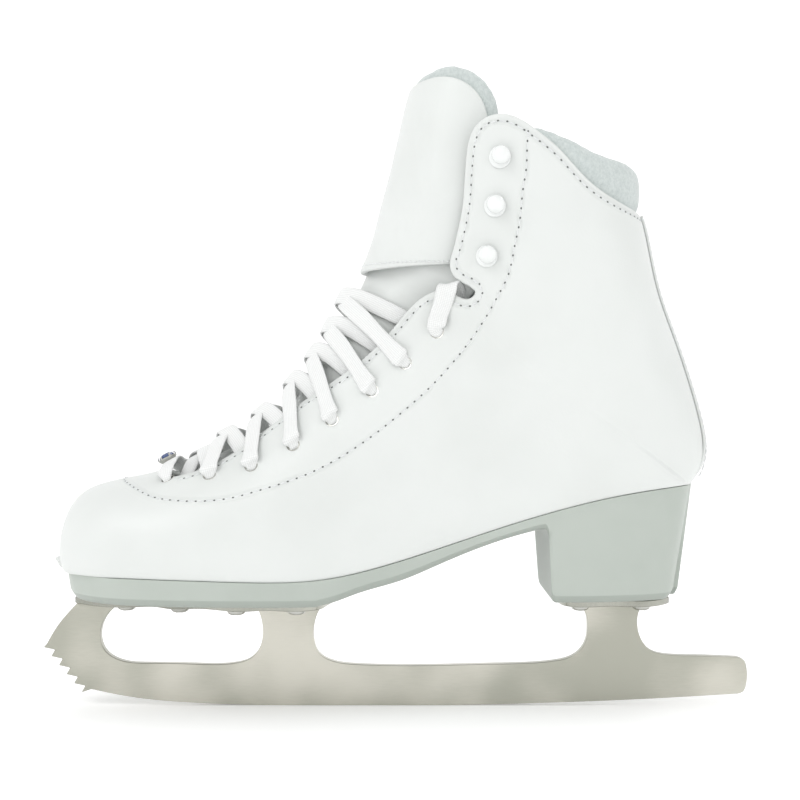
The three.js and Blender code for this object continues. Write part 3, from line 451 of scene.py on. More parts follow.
# ---- the boot's outside, through sections from the toe to above the top line
# low x and z, high x and z, half width along low, greatest half width, how far up that is, roundness
sections = np.array([
    (-135, 5, -135.2, 11, 4, 5, 0.4, 2), (-131.5, 0.6, -132.2, 22, 14, 18.5, 0.35, 2),
    (-125, 0, -126.5, 30.6, 23, 27.5, 0.32, 2.1), (-114, 0, -116.5, 35, 31.5, 35, 0.3, 2.2),
    (-100, 0, -105, 37.4, 37, 39.5, 0.3, 2.1), (-85, -0.2, -93, 40.6, 40, 42, 0.3, 2),
    (-70, -0.5, -79.5, 47.5, 41.5, 43.5, 0.3, 1.9), (-48, -0.9, -58, 58.5, 42, 43.5, 0.28, 1.8),
    (-22, 0.8, -38.8, 77, 39, 41, 0.26, 1.8), (10, 8.9, -27, 94.3, 33, 37.5, 0.28, 1.8),
    (45, 20.3, -20, 108.3, 31.5, 36, 0.3, 1.85), (80, 29.9, -16, 116.3, 32, 36.5, 0.34, 1.9),
    (106, 33.9, -13, 123.3, 25, 36.5, 0.38, 1.95), (115.5, 34.4, -12, 125.5, 14, 36.5, 0.4, 2),
    (119.5, 35, -11, 128.3, 0, 36.5, 0.42, 2), (124.6, 45.7, -9, 134.3, 0, 37, 0.44, 2),
    (121.3, 66, -6.5, 144.3, 0, 38, 0.46, 2), (113, 91.3, -3, 157.3, 0, 40, 0.48, 2),
    (105.5, 112.8, 1, 174.3, 0, 42, 0.5, 2), (100.6, 135.2, 4, 187.3, 0, 43.5, 0.5, 2),
    (97.8, 146, 6, 194.3, 0, 44, 0.5, 2), (98.5, 158, 9, 206, 0, 44.5, 0.5, 2),
    (94, 174, 14, 222, 0, 44.5, 0.5, 2)])
lastSection = len(sections) - 1
heelSection = 14              # the first that closes behind the heel
stations = np.arange(len(sections), dtype=float)
sectionBends = bendsOf(sections, stations)


def sectionAt(u):
    values = cubicAt(sections, sectionBends, stations, np.clip(u, 0, lastSection - 1e-9))
    values[..., 1] += soleEdge
    values[..., 3] += soleEdge
    values[..., 4] = np.where(np.asarray(u) >= heelSection, 0, np.maximum(values[..., 4], 0))
    return values


# t is 0 at the near sole edge or the back seam, 0.5 on the ridge and 1 on the far side.
# Under 0 and over 1 it turns in under the foot.
def halfAt(values, climb, angle):
    foot, wide, roundness = values[..., 4], values[..., 5], values[..., 7]
    half = np.where(climb >= 0.5, wide * np.maximum(np.cos(angle), 0) ** (2 / roundness),
                    foot + (wide - foot) * np.sin(angle))
    return np.where(climb > 1 - 1e-12, 0, half)


tuckedPerT = 200                         # how far in under the foot a whole t past the sole edge goes
toeTip = (0.8, -3.5)                     # where the tip closes, in x and z from the first section's low line


# A negative u closes the small hole at the tip of the toe.
def skinBare(u, t):
    u, t = np.broadcast_arrays(np.asarray(u, float), np.asarray(t, float))
    opened = np.sqrt(1 - np.clip(u, -1, 0) ** 2)[..., None]
    u = np.maximum(u, 0)
    values = sectionAt(u)
    low, high = values[..., 0:2], values[..., 2:4]
    at, roundness = values[..., 6], values[..., 7]
    climb = 1 - np.abs(2 * np.clip(t, 0, 1) - 1)
    above = climb >= 0.5
    angle = np.where(above, np.where(climb > 1 - 1e-12, 0.5, climb - 0.5), climb) * math.pi
    share = np.where(above, at + (1 - at) * np.sin(angle) ** (2 / roundness), at * (1 - np.cos(angle)))
    half = halfAt(values, climb, angle)
    spread = sum(halfAt(sectionAt(np.clip(u + shift, 0, lastSection)), climb, angle)
                 for shift in (-1.5, -0.9, -0.4, 0.4, 0.9, 1.5)) / 6
    soft = np.exp(-((u - heelSection) / 1.8) ** 2) * np.clip(climb / 0.12, 0, 1)
    half = half + (spread - half) * soft                       # rounds the turn from the side to the heel
    tucked = np.minimum(np.maximum(np.abs(t - 0.5) - 0.5, 0) * tuckedPerT, half)
    side = np.where(t < 0.5, -1, 1)
    place = np.stack([low[..., 0] + (high[..., 0] - low[..., 0]) * share, side * (half - tucked),
                      low[..., 1] + (high[..., 1] - low[..., 1]) * share], axis=-1)
    tip = np.stack([low[..., 0] + toeTip[0], np.zeros(low.shape[:-1]), low[..., 1] + toeTip[1]], axis=-1)
    return tip + (place - tip) * opened


def skinNormal(u, t):
    u, t = np.broadcast_arrays(np.asarray(u, float), np.asarray(t, float))
    ahead = np.clip(-u, 0, 1)[..., None] * (-1.0, 0, 0)
    u = np.maximum(u, 0)
    step, edge = 0.02, 0.004
    inside = np.clip(t, 0, 1)
    lengthways = (skinBare(np.minimum(u + step, lastSection), inside)
                  - skinBare(np.maximum(u - step, 0), inside))
    girth = skinBare(u, np.minimum(inside + edge, 1)) - skinBare(u, np.maximum(inside - edge, 0))
    normal = np.cross(lengthways, girth)
    normal /= np.maximum(np.linalg.norm(normal, axis=-1, keepdims=True), 1e-9)
    values = sectionAt(u)
    middle = np.stack([(values[..., 0] + values[..., 2]) / 2, np.zeros(u.shape),
                       (values[..., 1] + values[..., 3]) / 2], axis=-1)
    outward = ((skinBare(u, inside) - middle) * normal).sum(axis=-1)
    normal = np.where(outward[..., None] < 0, -normal, normal) + 3 * ahead
    return normal / np.linalg.norm(normal, axis=-1, keepdims=True)


def skin(u, t, inset):                   # a place that lies inset under the surface
    return skinBare(u, t) - skinNormal(u, t) * np.asarray(inset)[..., None]


def sideView(points):
    return points[..., [0, 2]]


def drawn(points):                       # a side-view outline, drawn up from the sole edge
    return np.array(points, float) + (0, soleEdge)


searchU, searchT = (part.ravel() for part in np.meshgrid(
    np.linspace(0, lastSection, 177), np.linspace(0, 0.5, 41), indexing="ij"))
searchPoints = sideView(skinBare(searchU, searchT))


def onSkin(places):                      # u and t of the near side behind side-view places
    places = np.array(places, float)
    nearest = ((places[:, None, :] - searchPoints[None]) ** 2).sum(axis=2).argmin(axis=1)
    u, t = searchU[nearest].copy(), searchT[nearest].copy()
    step = 1e-4
    for _ in range(12):
        miss = places - sideView(skinBare(u, t))
        du = (sideView(skinBare(np.minimum(u + step, lastSection), t))
              - sideView(skinBare(np.maximum(u - step, 0), t))) / (2 * step)
        t0, t1 = np.maximum(t - step, 0), np.minimum(t + step, 0.5)
        dt = (sideView(skinBare(u, t1)) - sideView(skinBare(u, t0))) / (t1 - t0)[:, None]
        size = du[:, 0] * dt[:, 1] - du[:, 1] * dt[:, 0]
        size = np.where(np.abs(size) < 5, np.where(size < 0, -5, 5), size)
        moveU = (miss[:, 0] * dt[:, 1] - miss[:, 1] * dt[:, 0]) / size
        moveT = (du[:, 0] * miss[:, 1] - du[:, 1] * miss[:, 0]) / size
        u = np.clip(u + np.clip(moveU, -0.3, 0.3), 0, lastSection)
        t = np.clip(t + np.clip(moveT, -0.03, 0.03), 0, 0.5)
    return u, t


# A sheet of the surface where keep is above zero. The closest points are drawn onto its zero line.
def trimmedSheet(surface, rows, columns, keep):
    a, b = np.meshgrid(rows, columns, indexing="ij")
    value = keep(a.ravel(), b.ravel()).reshape(a.shape)
    best = {}
    for down, right in ((1, 0), (0, 1)):
        first = value[:a.shape[0] - down, :a.shape[1] - right]
        second = value[down:, right:]
        i, j = np.nonzero(first * second < 0)
        low, high = np.zeros(len(i)), np.ones(len(i))
        at = lambda s: (a[i, j] + (a[i + down, j + right] - a[i, j]) * s,
                        b[i, j] + (b[i + down, j + right] - b[i, j]) * s)
        sign = np.sign(value[i, j])
        for _ in range(9):
            middle = (low + high) / 2
            before = keep(*at(middle)) * sign > 0
            low, high = np.where(before, middle, low), np.where(before, high, middle)
        share = (low + high) / 2
        placeA, placeB = at(share)
        for k in range(len(i)):
            corner = (i[k], j[k]) if share[k] <= 0.5 else (i[k] + down, j[k] + right)
            miss = min(share[k], 1 - share[k])
            if miss < best.get(corner, (1, 0, 0))[0]:
                best[corner] = (miss, placeA[k], placeB[k])
    moved = np.zeros(a.shape, bool)
    for (i, j), (_, placeA, placeB) in best.items():
        a[i, j], b[i, j], moved[i, j] = placeA, placeB, True
    inSheet = value > 0
    good = inSheet | moved
    centre = keep(((a[:-1, :-1] + a[1:, :-1] + a[:-1, 1:] + a[1:, 1:]) / 4).ravel(),
                  ((b[:-1, :-1] + b[1:, :-1] + b[:-1, 1:] + b[1:, 1:]) / 4).ravel())
    centre = centre.reshape(a.shape[0] - 1, a.shape[1] - 1)
    number = np.arange(a.size).reshape(a.shape)
    faces = []
    for i, j in np.argwhere(inSheet[:-1, :-1] | inSheet[1:, 1:] | inSheet[1:, :-1] | inSheet[:-1, 1:]):
        corners = [(i, j), (i + 1, j), (i + 1, j + 1), (i, j + 1)]
        face = [number[c] for c in corners if good[c]]
        if len(face) == 4 and (centre[i, j] > 0 or not any(moved[c] for c in corners)):
            faces.append(face)
        elif len(face) >= 3 and any(inSheet[c] and not moved[c] for c in corners if good[c]):
            faces.append(face)
    used = np.unique(np.concatenate([np.array(face) for face in faces]))
    renumber = np.full(a.size, -1)
    renumber[used] = np.arange(len(used))
    a, b = a.ravel()[used], b.ravel()[used]
    return surface(a, b), [[renumber[k] for k in face] for face in faces], a, b


def faceNormals(points, faces):          # at each point, the mean of its faces
    normal = np.zeros_like(points)
    for size in (3, 4):
        group = np.array([face for face in faces if len(face) == size])
        if len(group):
            cross = np.cross(points[group[:, 2]] - points[group[:, 0]],
                             points[group[:, -1]] - points[group[:, 1]] if size == 4
                             else points[group[:, 1]] - points[group[:, 0]])
            if size == 3:
                cross = -cross
            for k in range(size):
                np.add.at(normal, group[:, k], cross)
    return normal / np.maximum(np.linalg.norm(normal, axis=1, keepdims=True), 1e-9)


# A sheet made thick on its inside, with a rounded rim that stands out by bulge.
def thickened(points, faces, outward, thickness, bulge, rimSteps=5, layers=None):
    normal = faceNormals(points, faces)
    if (normal * outward).sum() < 0:
        faces = [face[::-1] for face in faces]
        normal = -normal
    directed = {}
    for face in faces:
        for k in range(len(face)):
            directed[(face[k], face[(k + 1) % len(face)])] = True
    after = {a: b for a, b in directed if (b, a) not in directed}
    before = {b: a for a, b in after.items()}
    rim = [a for a in after if a in before]
    place = {a: k for k, a in enumerate(rim)}
    run = np.array([points[after[a]] - points[before[a]] for a in rim])
    side = np.cross(run, normal[rim])
    side /= np.maximum(np.linalg.norm(side, axis=1, keepdims=True), 1e-9)
    count = len(points)
    rings = [points[rim]]
    thick = np.broadcast_to(thickness, (count,))[:, None]
    inner = points - normal * thick
    for k in range(1, rimSteps):
        turn = math.pi * k / rimSteps
        rings.append(points[rim] + side * bulge * math.sin(turn)
                     - normal[rim] * thick[rim] * (1 - math.cos(turn)) / 2)
    everything = np.vstack([points, inner] + rings[1:])
    index = lambda ring, a: a if ring == 0 else a + count if ring == rimSteps else (
        2 * count + (ring - 1) * len(rim) + place[a])
    solid = [list(face) for face in faces] + [[k + count for k in face[::-1]] for face in faces]
    for a, b in after.items():
        if a in place and b in place:
            for ring in range(rimSteps):
                solid.append([index(ring, b), index(ring, a), index(ring + 1, a), index(ring + 1, b)])
    spread = {name: np.concatenate([values, values] + [np.asarray(values)[rim]] * (rimSteps - 1))
              for name, values in (layers or {}).items()}
    return everything, solid, spread


# ---- upper
upperSizes = dict(leather=2.4, rim=0.7, holeRadius=2.5, stitchPitch=3.6, edgeStitch=2.9, eyestayStitch=2.1,
                  tucked=(0.08, 0.055, 0.03, 0.012), rowStep=0.07, girthSteps=150)
throatEdge = smoothLine(drawn([
    (-96, 45), (-92.5, 39.6), (-84, 39.4), (-62, 49), (-43.4, 63), (-29.9, 72.4), (-20.4, 78.6), (-2.5, 94.6),
    (4.9, 103.5), (10.8, 108.5), (15.4, 110.3), (19.2, 110.6), (24.9, 107.7), (28.4, 107.2), (30.4, 109.4),
    (28.4, 111.6), (24.2, 113.9), (21.5, 117), (20.7, 120.9), (21.9, 125.8), (23.7, 133.3), (25.2, 140.8),
    (25.9, 148.3), (26.6, 159.6), (27.7, 167), (30.3, 172.4), (34, 175.1), (39.5, 176.2), (45.1, 174.9),
    (52.5, 170.3), (62.1, 162.9), (73.9, 151.5), (82.2, 146.5), (94.6, 142.5), (108, 141)]), 1.0)
throatRegion = np.vstack([throatEdge, drawn([(170, 141), (170, 260), (-96, 260)])])
vampSeam = smoothLine(drawn([
    (-109.6, 36.6), (-101.7, 33.7), (-94.4, 31.1), (-86, 29.9), (-74.1, 29.7), (-62.6, 30.9), (-51.3, 33.9),
    (-36.2, 38.8), (-24.8, 44.1), (-11.5, 52.4), (1.8, 62.7), (16, 75.7), (26, 87.3), (33.6, 98), (40, 109.3),
    (42.6, 114.6), (45.4, 126.9), (46.9, 134.3), (48.2, 147.3), (49.3, 154.7), (49.6, 162.1),
    (49.9, 167.7)]), 1.0)


def shifted(line, distance):             # a side-view line moved to its right
    run = np.gradient(line, axis=0)
    run /= np.maximum(np.linalg.norm(run, axis=1, keepdims=True), 1e-9)
    return line + np.stack([run[:, 1], -run[:, 0]], axis=1) * distance


# the seam lies closer to the edge along the eyestay than up the flap
edgeShare = np.clip((throatEdge[:, 0] + 40) / 60, 0, 1) + (throatEdge[:, 1] > soleEdge + 112)
edgeInset = upperSizes["eyestayStitch"] + np.clip(edgeShare, 0, 1) * (
    upperSizes["edgeStitch"] - upperSizes["eyestayStitch"])
edgeSeam = shifted(throatEdge, edgeInset[:, None])
edgeSeam = edgeSeam[(edgeSeam[:, 0] > -84) & (edgeSeam[:, 0] < 99)]
edgeSeam = edgeSeam[lineDistance(edgeSeam, throatEdge) > edgeInset.min() - 0.15]

eyeletU, eyeletT = onSkin(drawn([(-89, 37.5), (-71.7, 39.2), (-55.4, 42.7), (-39.3, 50.8), (-24.4, 60.4),
                                 (-9, 71.6), (3.8, 82.4), (16.1, 94.3)]))
hookU, hookT = onSkin(drawn([(35, 123), (37.9, 141.7), (39.6, 159.8)]))
eyeletPlaces = skinBare(eyeletU, eyeletT)


def makeUpper():
    rim, radius = upperSizes["rim"], upperSizes["holeRadius"]

    def keep(u, t):
        points = skinBare(u, t)
        value = -insideBy(sideView(points), throatRegion) - rim
        mirrored = points * (1, -1, 1)
        for place in eyeletPlaces:
            for side in (points, mirrored):
                close = np.abs(side[:, 0] - place[0]) < 8
                away = np.linalg.norm(side[close] - place, axis=1) - radius
                value[close] = np.minimum(value[close], away)
        return value

    steps = upperSizes["girthSteps"]
    inside = np.linspace(0, 1, steps + 1)
    tucked = np.array(upperSizes["tucked"])
    columns = np.concatenate([-tucked, inside, 1 + tucked[::-1]])
    rows = np.concatenate([np.linspace(-0.985, 0, 9)[:-1], np.linspace(0, 1, 24)[:-1],
                           np.arange(1, lastSection + 0.01, upperSizes["rowStep"])])
    points, faces, u, t = trimmedSheet(skinBare, rows, columns, keep)
    places = sideView(points)
    seam = np.minimum(lineDistance(places, vampSeam), lineDistance(places, edgeSeam))
    outward = skinNormal(u, t)
    shell, solid, layers = thickened(points, faces, outward, upperSizes["leather"], rim,
                                     layers={"seam": seam})
    piece = addMesh("upper_leather", shell, solid, leatherSeamShaded, layers, sharp=80.0)
    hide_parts("upper")
    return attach(piece, boot)


upperPiece = makeUpper()
print("upper made", len(upperPiece.data.vertices))


# ---- lining and collar
liningSizes = dict(thickness=1.1, inset=4.3, step=0.14, foot=9.0)
collarSizes = dict(thickness=6.5, under=2.9, proud=0.2, squareness=0.55, around=64, across=22, voxel=1.7,
                   pressure=3.0, reach=1.3, frames=14)
collarLow = smoothLine(drawn([(40, 150), (60, 143), (80, 131), (112, 122)]), 2.0)
liningEdge = smoothLine(drawn([(-104, 60), (-98, 30), (-84, 22), (-62, 26), (-33, 38), (-3, 58), (24, 84),
                               (37, 106), (38, 135), (40, 150)]), 2.0)
collarTop = smoothLine(drawn([(99.8, 151.5), (99.4, 156.7), (96.8, 159.4), (92.1, 160.6), (86.9, 161.4),
                              (77.8, 162.8), (70.2, 165.8), (62.6, 168.6), (55, 171), (48, 170.6)]), 1.5)
collarBand = np.vstack([collarLow, drawn([(113.8, 151.5)]), collarTop])


def makeLining():
    region = np.vstack([liningEdge, collarLow[1:], drawn([(170, 122), (170, 260), (-92, 260)])])
    floorLine = sectionAt(np.linspace(0.0, heelSection, 400))[:, :2]

    def keep(u, t):
        places = sideView(skin(u, t, liningSizes["inset"]))
        above = places[:, 1] - np.interp(places[:, 0], floorLine[:, 0], floorLine[:, 1]) - liningSizes["foot"]
        return np.minimum(-insideBy(places, region), above)

    rows = np.arange(1.0, lastSection - 0.5, liningSizes["step"])
    points, faces, u, t = trimmedSheet(lambda a, b: skin(a, b, liningSizes["inset"]), rows,
                                       np.linspace(0, 1, 91), keep)
    shell, solid, _ = thickened(points, faces, skinNormal(u, t), liningSizes["thickness"], 0.3, 3)
    piece = addMesh("lining_cloth", shell, solid, fleece)
    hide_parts("lining")
    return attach(piece, boot)


# Cloth blown up a little from the inside, with each point kept within reach of where it was.
def puffed(piece, sizes):
    remesh = piece.modifiers.new("remesh", "REMESH")
    remesh.mode = "VOXEL"
    remesh.voxel_size = sizes["voxel"] * mm
    applyModifiers(piece)
    rest = np.array([v.co for v in piece.data.vertices])
    cloth = piece.modifiers.new("cloth", "CLOTH")
    cloth.settings.quality = 5
    cloth.settings.mass = 0.3
    cloth.settings.use_pressure = True
    cloth.settings.uniform_pressure_force = sizes["pressure"]
    cloth.settings.shrink_min = -0.03
    cloth.settings.effector_weights.gravity = 0
    cloth.point_cache.frame_start = 1
    cloth.point_cache.frame_end = sizes["frames"]
    scene = bpy.context.scene
    for tick in range(1, sizes["frames"] + 1):
        scene.frame_set(tick)
    applyModifiers(piece)
    moved = np.array([v.co for v in piece.data.vertices])
    away = moved - rest
    size = np.linalg.norm(away, axis=1, keepdims=True)
    capped = rest + away * np.minimum(1, sizes["reach"] * mm / np.maximum(size, 1e-9))
    piece.data.vertices.foreach_set("co", capped.ravel())
    scene.frame_set(1)
    smooth = piece.modifiers.new("smooth", "SMOOTH")
    smooth.factor = 0.5
    smooth.iterations = 3
    finer = piece.modifiers.new("finer", "SUBSURF")
    finer.levels = finer.render_levels = 1
    applyModifiers(piece)
    piece.data.shade_smooth()
    return piece


def makeCollar():
    around, across = collarSizes["around"], collarSizes["across"]
    fine = np.linspace(heelSection + 1, lastSection, 500)
    ends = []
    for t in np.linspace(0, 0.5, 260):
        inside = insideBy(sideView(skin(fine, t, collarSizes["under"])), collarBand) > 0
        if inside.sum() < 8:
            break
        ends.append((t, fine[inside].min(), fine[inside].max()))
    ends = np.array(ends)
    share = np.linspace(-1, 1, 2 * around + 1)
    t = np.abs(share) * ends[-1, 0]
    low, top = np.interp(t, ends[:, 0], ends[:, 1]), np.interp(t, ends[:, 0], ends[:, 2])
    t = np.where(share > 0, 1 - t, t)
    turn = np.linspace(0, 2 * math.pi, across, endpoint=False)
    up = 0.5 - 0.5 * np.cos(turn)                 # bottom, inner face, top, outer face
    rings = []
    for k in range(len(share)):
        u = low[k] + (top[k] - low[k]) * up
        clear = -insideBy(sideView(skinBare(u, np.full_like(u, t[k]))), throatRegion)
        outer = collarSizes["under"] - (collarSizes["under"] - collarSizes["proud"]) * np.clip(
            (-clear - 0.8) / 3.0, 0, 1)
        thick = collarSizes["thickness"] + collarSizes["under"] - outer
        taper = min(1, (1 - abs(share[k])) * 14 + 0.25)
        bulge = np.sign(np.sin(turn)) * np.abs(np.sin(turn)) ** collarSizes["squareness"]
        middle = outer + thick * taper / 2
        inset = middle + thick * taper / 2 * bulge
        rings.append(skin(u, np.full_like(u, t[k]), inset))
    piece = addMesh("collar_pad", np.vstack(rings), tubeFaces(len(rings), across), fleece, sharp=180.0)
    puffed(piece, collarSizes)
    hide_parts("collar")
    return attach(piece, boot)


makeLining()
makeCollar()
print("lining and collar made")


# ---- tongue
tongueSizes = dict(leather=1.8, pad=4.6, half=31.5, footHalf=26.0, spread=0.19, depth=30.0, crease=118.5,
                   rim=0.6, padRim=2.0, voxel=1.7, pressure=3.0, reach=1.0, frames=14,
                   bendStart=(-0.012, 0.0, 0.180), bendEnd=(-0.004, 0.0, 0.206))
ridgeLine = sectionAt(np.linspace(8, lastSection, 900))[:, 2:4]


def ridgeAt(z):
    return np.interp(z, ridgeLine[:, 1], ridgeLine[:, 0])


# A gutter up the front of the shin: z is its height, q runs -1 to 1 round the front and on past them.
def tonguePoint(z, q, inset=0.0):
    z, q = np.broadcast_arrays(np.asarray(z, float), np.asarray(q, float))
    rise = np.maximum(0, z - soleEdge - tongueSizes["crease"])
    half = np.minimum(tongueSizes["half"], tongueSizes["footHalf"] + rise * tongueSizes["spread"]) - inset
    angle = np.clip(q, -1, 1) * math.pi / 2
    past = np.maximum(np.abs(q) - 1, 0) * 30
    bulge = np.maximum(0, np.cos(angle)) ** 0.95
    x = ridgeAt(z) + inset + tongueSizes["depth"] * (1 - bulge) + past
    return np.stack([x, half * np.sign(angle) * np.abs(np.sin(angle)) ** 0.95, z], axis=-1)


crease = tongueSizes["crease"]
tongueLeatherEdge = np.vstack([drawn([(-40, crease + 0.9), (-16, crease + 0.9)]), smoothLine(drawn([
    (22, crease + 2.2), (32, 135), (36, 155), (36.2, 172), (33.2, 184), (26, 191.2), (18, 194),
    (6, 193.4)]), 1.5), drawn([(-40, 192)])])
tonguePadEdge = np.vstack([drawn([(-40, crease + 4)]), smoothLine(drawn([
    (24, crease + 6), (36, 138), (40.5, 158), (41.0, 174), (38.8, 186), (31.5, 194.6), (20, 198.4),
    (8, 196.4)]), 1.5), drawn([(-40, 194)])])


def tongueSheet(name, inset, thickness, edge, rim, material, step, steps):
    def keep(z, q):
        return insideBy(sideView(tonguePoint(z, q, inset)), edge) - rim

    rows = np.arange(soleEdge + crease - 2, soleEdge + 204, step)
    columns = np.linspace(-1.9, 1.9, steps)
    points, faces, z, q = trimmedSheet(lambda a, b: tonguePoint(a, b, inset), rows, columns, keep)
    outward = points - np.stack([ridgeAt(z) + 60, np.zeros_like(z), z], axis=-1)
    shell, solid, _ = thickened(points, faces, outward, thickness, rim, 6)
    return addMesh(name, shell, solid, material, sharp=180.0)


def makeTongueBase():
    inner = tongueSizes["leather"] + gap

    def depthAt(u, t):                   # deep along the throat's edge and at the toe, less deep between
        places = sideView(skinBare(u, t))
        clear = np.clip(insideBy(places, throatRegion) / 12, 0, 1)
        foot = np.clip((places[:, 0] + 100) / 12, 0, 1)
        deep = 6.4 - 3.4 * clear * clear * (3 - 2 * clear) * foot
        tuck = np.clip((places[:, 1] - soleEdge - crease + 9) / 8, 0, 1)
        return deep * (1 - tuck) + np.maximum(deep, inner + 0.7) * tuck

    region = np.vstack([smoothLine(drawn([(-104, 33), (-84, 34), (-62, 41), (-43, 53), (-20, 68), (0, 85),
                                          (17, 98), (30, 109), (36, crease + 5)]), 2.0),
                        drawn([(-40, crease + 5), (-104, 60)])])
    surface = lambda u, t: skin(u, t, depthAt(u, t))
    rows, columns = np.arange(3.0, 17.2, 0.085), np.linspace(0.18, 0.82, 90)
    points, faces, u, t = trimmedSheet(surface, rows, columns,
                                       lambda u, t: insideBy(sideView(surface(u, t)), region) - 0.6)
    shell, solid, _ = thickened(points, faces, skinNormal(u, t), 3.2, 0.6, 4)
    piece = addMesh("tongue_lower_leather", shell, solid, leatherPlain, sharp=180.0)
    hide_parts("tongue_base")
    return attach(piece, boot)


def makeTongue():
    leather, pad = tongueSizes["leather"], tongueSizes["pad"]
    front = tongueSheet("tongue_leather", 0.0, leather, tongueLeatherEdge, tongueSizes["rim"],
                        leatherPlain, 1.6, 81)
    back = tongueSheet("tongue_pad", leather + gap, pad, tonguePadEdge, tongueSizes["padRim"],
                       fleece, 1.8, 71)
    puffed(back, tongueSizes)
    for piece, node, slot in ((front, "tongue_upper", "white_leather"),
                              (back, "tongue_padding", "grey_fleece")):
        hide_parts(node)
        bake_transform(piece)


makeTongueBase()
makeTongue()
print("tongue made")


# ---- stitches, each with a dark disc painted as the shade in its needle hole
stitchSizes = dict(thread=0.26, length=2.5, lift=0.04, hole=0.35, tonguePitch=2.6, tongueShare=0.62,
                   backstayPitch=3.2)


# A row of places with their outward and forward directions, one for each stitch.
def stitchRow(points, normals, pitch):
    row = evenly(np.hstack([points, normals]), pitch)
    places = row[:, :3]
    out = row[:, 3:6] / np.linalg.norm(row[:, 3:6], axis=1, keepdims=True)
    ahead = np.gradient(places, axis=0)
    ahead -= out * (ahead * out).sum(axis=1, keepdims=True)
    return places, out, ahead / np.maximum(np.linalg.norm(ahead, axis=1, keepdims=True), 1e-9)


def seamOnSkin(line, pitch):             # a side-view seam, on both sides
    u, t = onSkin(line)
    rows = []
    for side in (1, -1):
        flip = np.array([1, side, 1])
        rows.append(stitchRow(skinBare(u, t) * flip, skinNormal(u, t) * flip, pitch))
    return rows


def makeStitches(name, rows, rider, share=1.0):   # share of the full stitch length
    threadPoints, threadFaces, holeShadePoints, holeShadeFaces = [], [], [], []
    stations = [(-0.5, 0.35), (-0.38, 0.9), (0, 1.0), (0.38, 0.9), (0.5, 0.35)]
    sides = 6
    for places, out, ahead in rows:
        for place, up, run in zip(places, out, ahead):
            over = np.cross(up, run)
            base = len(threadPoints)
            length = stitchSizes["length"] * share
            for way, fat in stations:
                sink = stitchSizes["lift"] - 1.6 * stitchSizes["thread"] * (2 * way) ** 4
                for k in range(sides):
                    turn = 2 * math.pi * k / sides
                    threadPoints.append(place + run * way * length + up * (
                        sink + stitchSizes["thread"] * fat * math.sin(turn))
                        + over * stitchSizes["thread"] * 1.25 * fat * math.cos(turn))
            threadFaces += [tuple(base + k for k in face) for face in tubeFaces(len(stations), sides)]
            # a small dark disc at the stitch's end, painted as the shade in the needle hole
            base = len(holeShadePoints)
            centre = place + run * (0.5 * length + 0.5)
            for size, rise in ((1.0, 0.02), (0.7, 0.10), (0.0, 0.14)):
                for k in range(8 if size else 1):
                    turn = 2 * math.pi * k / 8
                    holeShadePoints.append(centre + up * rise + stitchSizes["hole"] * size * (
                        run * 1.3 * math.cos(turn) + over * math.sin(turn)))
            for k in range(8):
                n = (k + 1) % 8
                holeShadeFaces.append((base + k, base + n, base + 8 + n, base + 8 + k))
                holeShadeFaces.append((base + 8 + k, base + 8 + n, base + 16))
            holeShadeFaces.append(tuple(base + k for k in range(8))[::-1])
    for label, points, faces, look in (("_thread", threadPoints, threadFaces, thread),
                                       ("_holes", holeShadePoints, holeShadeFaces, holeShade)):
        piece = addMesh(name + label, points, faces, look, sharp=180.0)
        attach(piece, rider)


def makeSeams():
    pitch = upperSizes["stitchPitch"]
    makeStitches("vamp_seam", seamOnSkin(vampSeam, pitch), boot)
    runs, last = [], 0
    for k in range(1, len(edgeSeam)):
        if np.linalg.norm(edgeSeam[k] - edgeSeam[k - 1]) > 4:
            runs.append(edgeSeam[last:k])
            last = k
    runs.append(edgeSeam[last:])
    makeStitches("edge_seam", [row for run in runs if len(run) > 4 for row in seamOnSkin(run, pitch)], boot)
    q = np.linspace(-1.25, 1.25, 240)
    z = np.full_like(q, soleEdge + crease + 3.4)
    points = tonguePoint(z, q)
    out = points - (points[len(points) // 2] + (60, 0, 0))
    makeStitches("tongue_seam", [stitchRow(points, out, stitchSizes["tonguePitch"])], boot,
                 stitchSizes["tongueShare"])


makeSeams()
print("seams made")


# ---- lace
laceSizes = dict(width=7.2, thickness=1.25, inHole=3.4, lift=1.5, under=-5.3, step=0.9)
crossings = onSkin(drawn([(-77, 48), (-68, 54), (-54, 62), (-41, 74.5), (-33, 86), (-27, 97),
                          (-20.5, 107.5)]))[0]


# A flat woven band along a route. guides point across it, and widths are in millimetres.
def band(points, guides, widths, thickness, around=14):
    points, guides = np.asarray(points, float), np.asarray(guides, float)
    run = np.gradient(points, axis=0)
    run /= np.maximum(np.linalg.norm(run, axis=1, keepdims=True), 1e-9)
    over = guides - run * (guides * run).sum(axis=1, keepdims=True)
    over /= np.maximum(np.linalg.norm(over, axis=1, keepdims=True), 1e-9)
    up = np.cross(run, over)
    turn = np.linspace(0, 2 * math.pi, around, endpoint=False)
    wide = np.sign(np.cos(turn)) * np.abs(np.cos(turn)) ** 0.85
    high = np.sign(np.sin(turn)) * np.abs(np.sin(turn)) ** 0.55
    widths = np.broadcast_to(widths, (len(points),))
    bunch = np.clip(laceSizes["width"] / widths, 1, 1.7)       # a narrower band is a thicker one
    across = widths[:, None] / 2 * wide
    rings = (points[:, None] + over[:, None] * across[..., None]
             + up[:, None] * (thickness / 2 * bunch[:, None] * high)[..., None])
    along = np.repeat(measure(points), around)
    return rings.reshape(-1, 3), tubeFaces(len(points), around), {"along": along, "across": across.ravel()}


def laceStop(u, t, lift, side, width):   # a place on the route, its guide and the band's width there
    place = skin(u, t, -lift) * (1, side, 1)
    ahead = skinBare(min(u + 0.1, lastSection), 0.5) - skinBare(u, 0.5)
    return [*place, *(ahead / np.linalg.norm(ahead)), width]


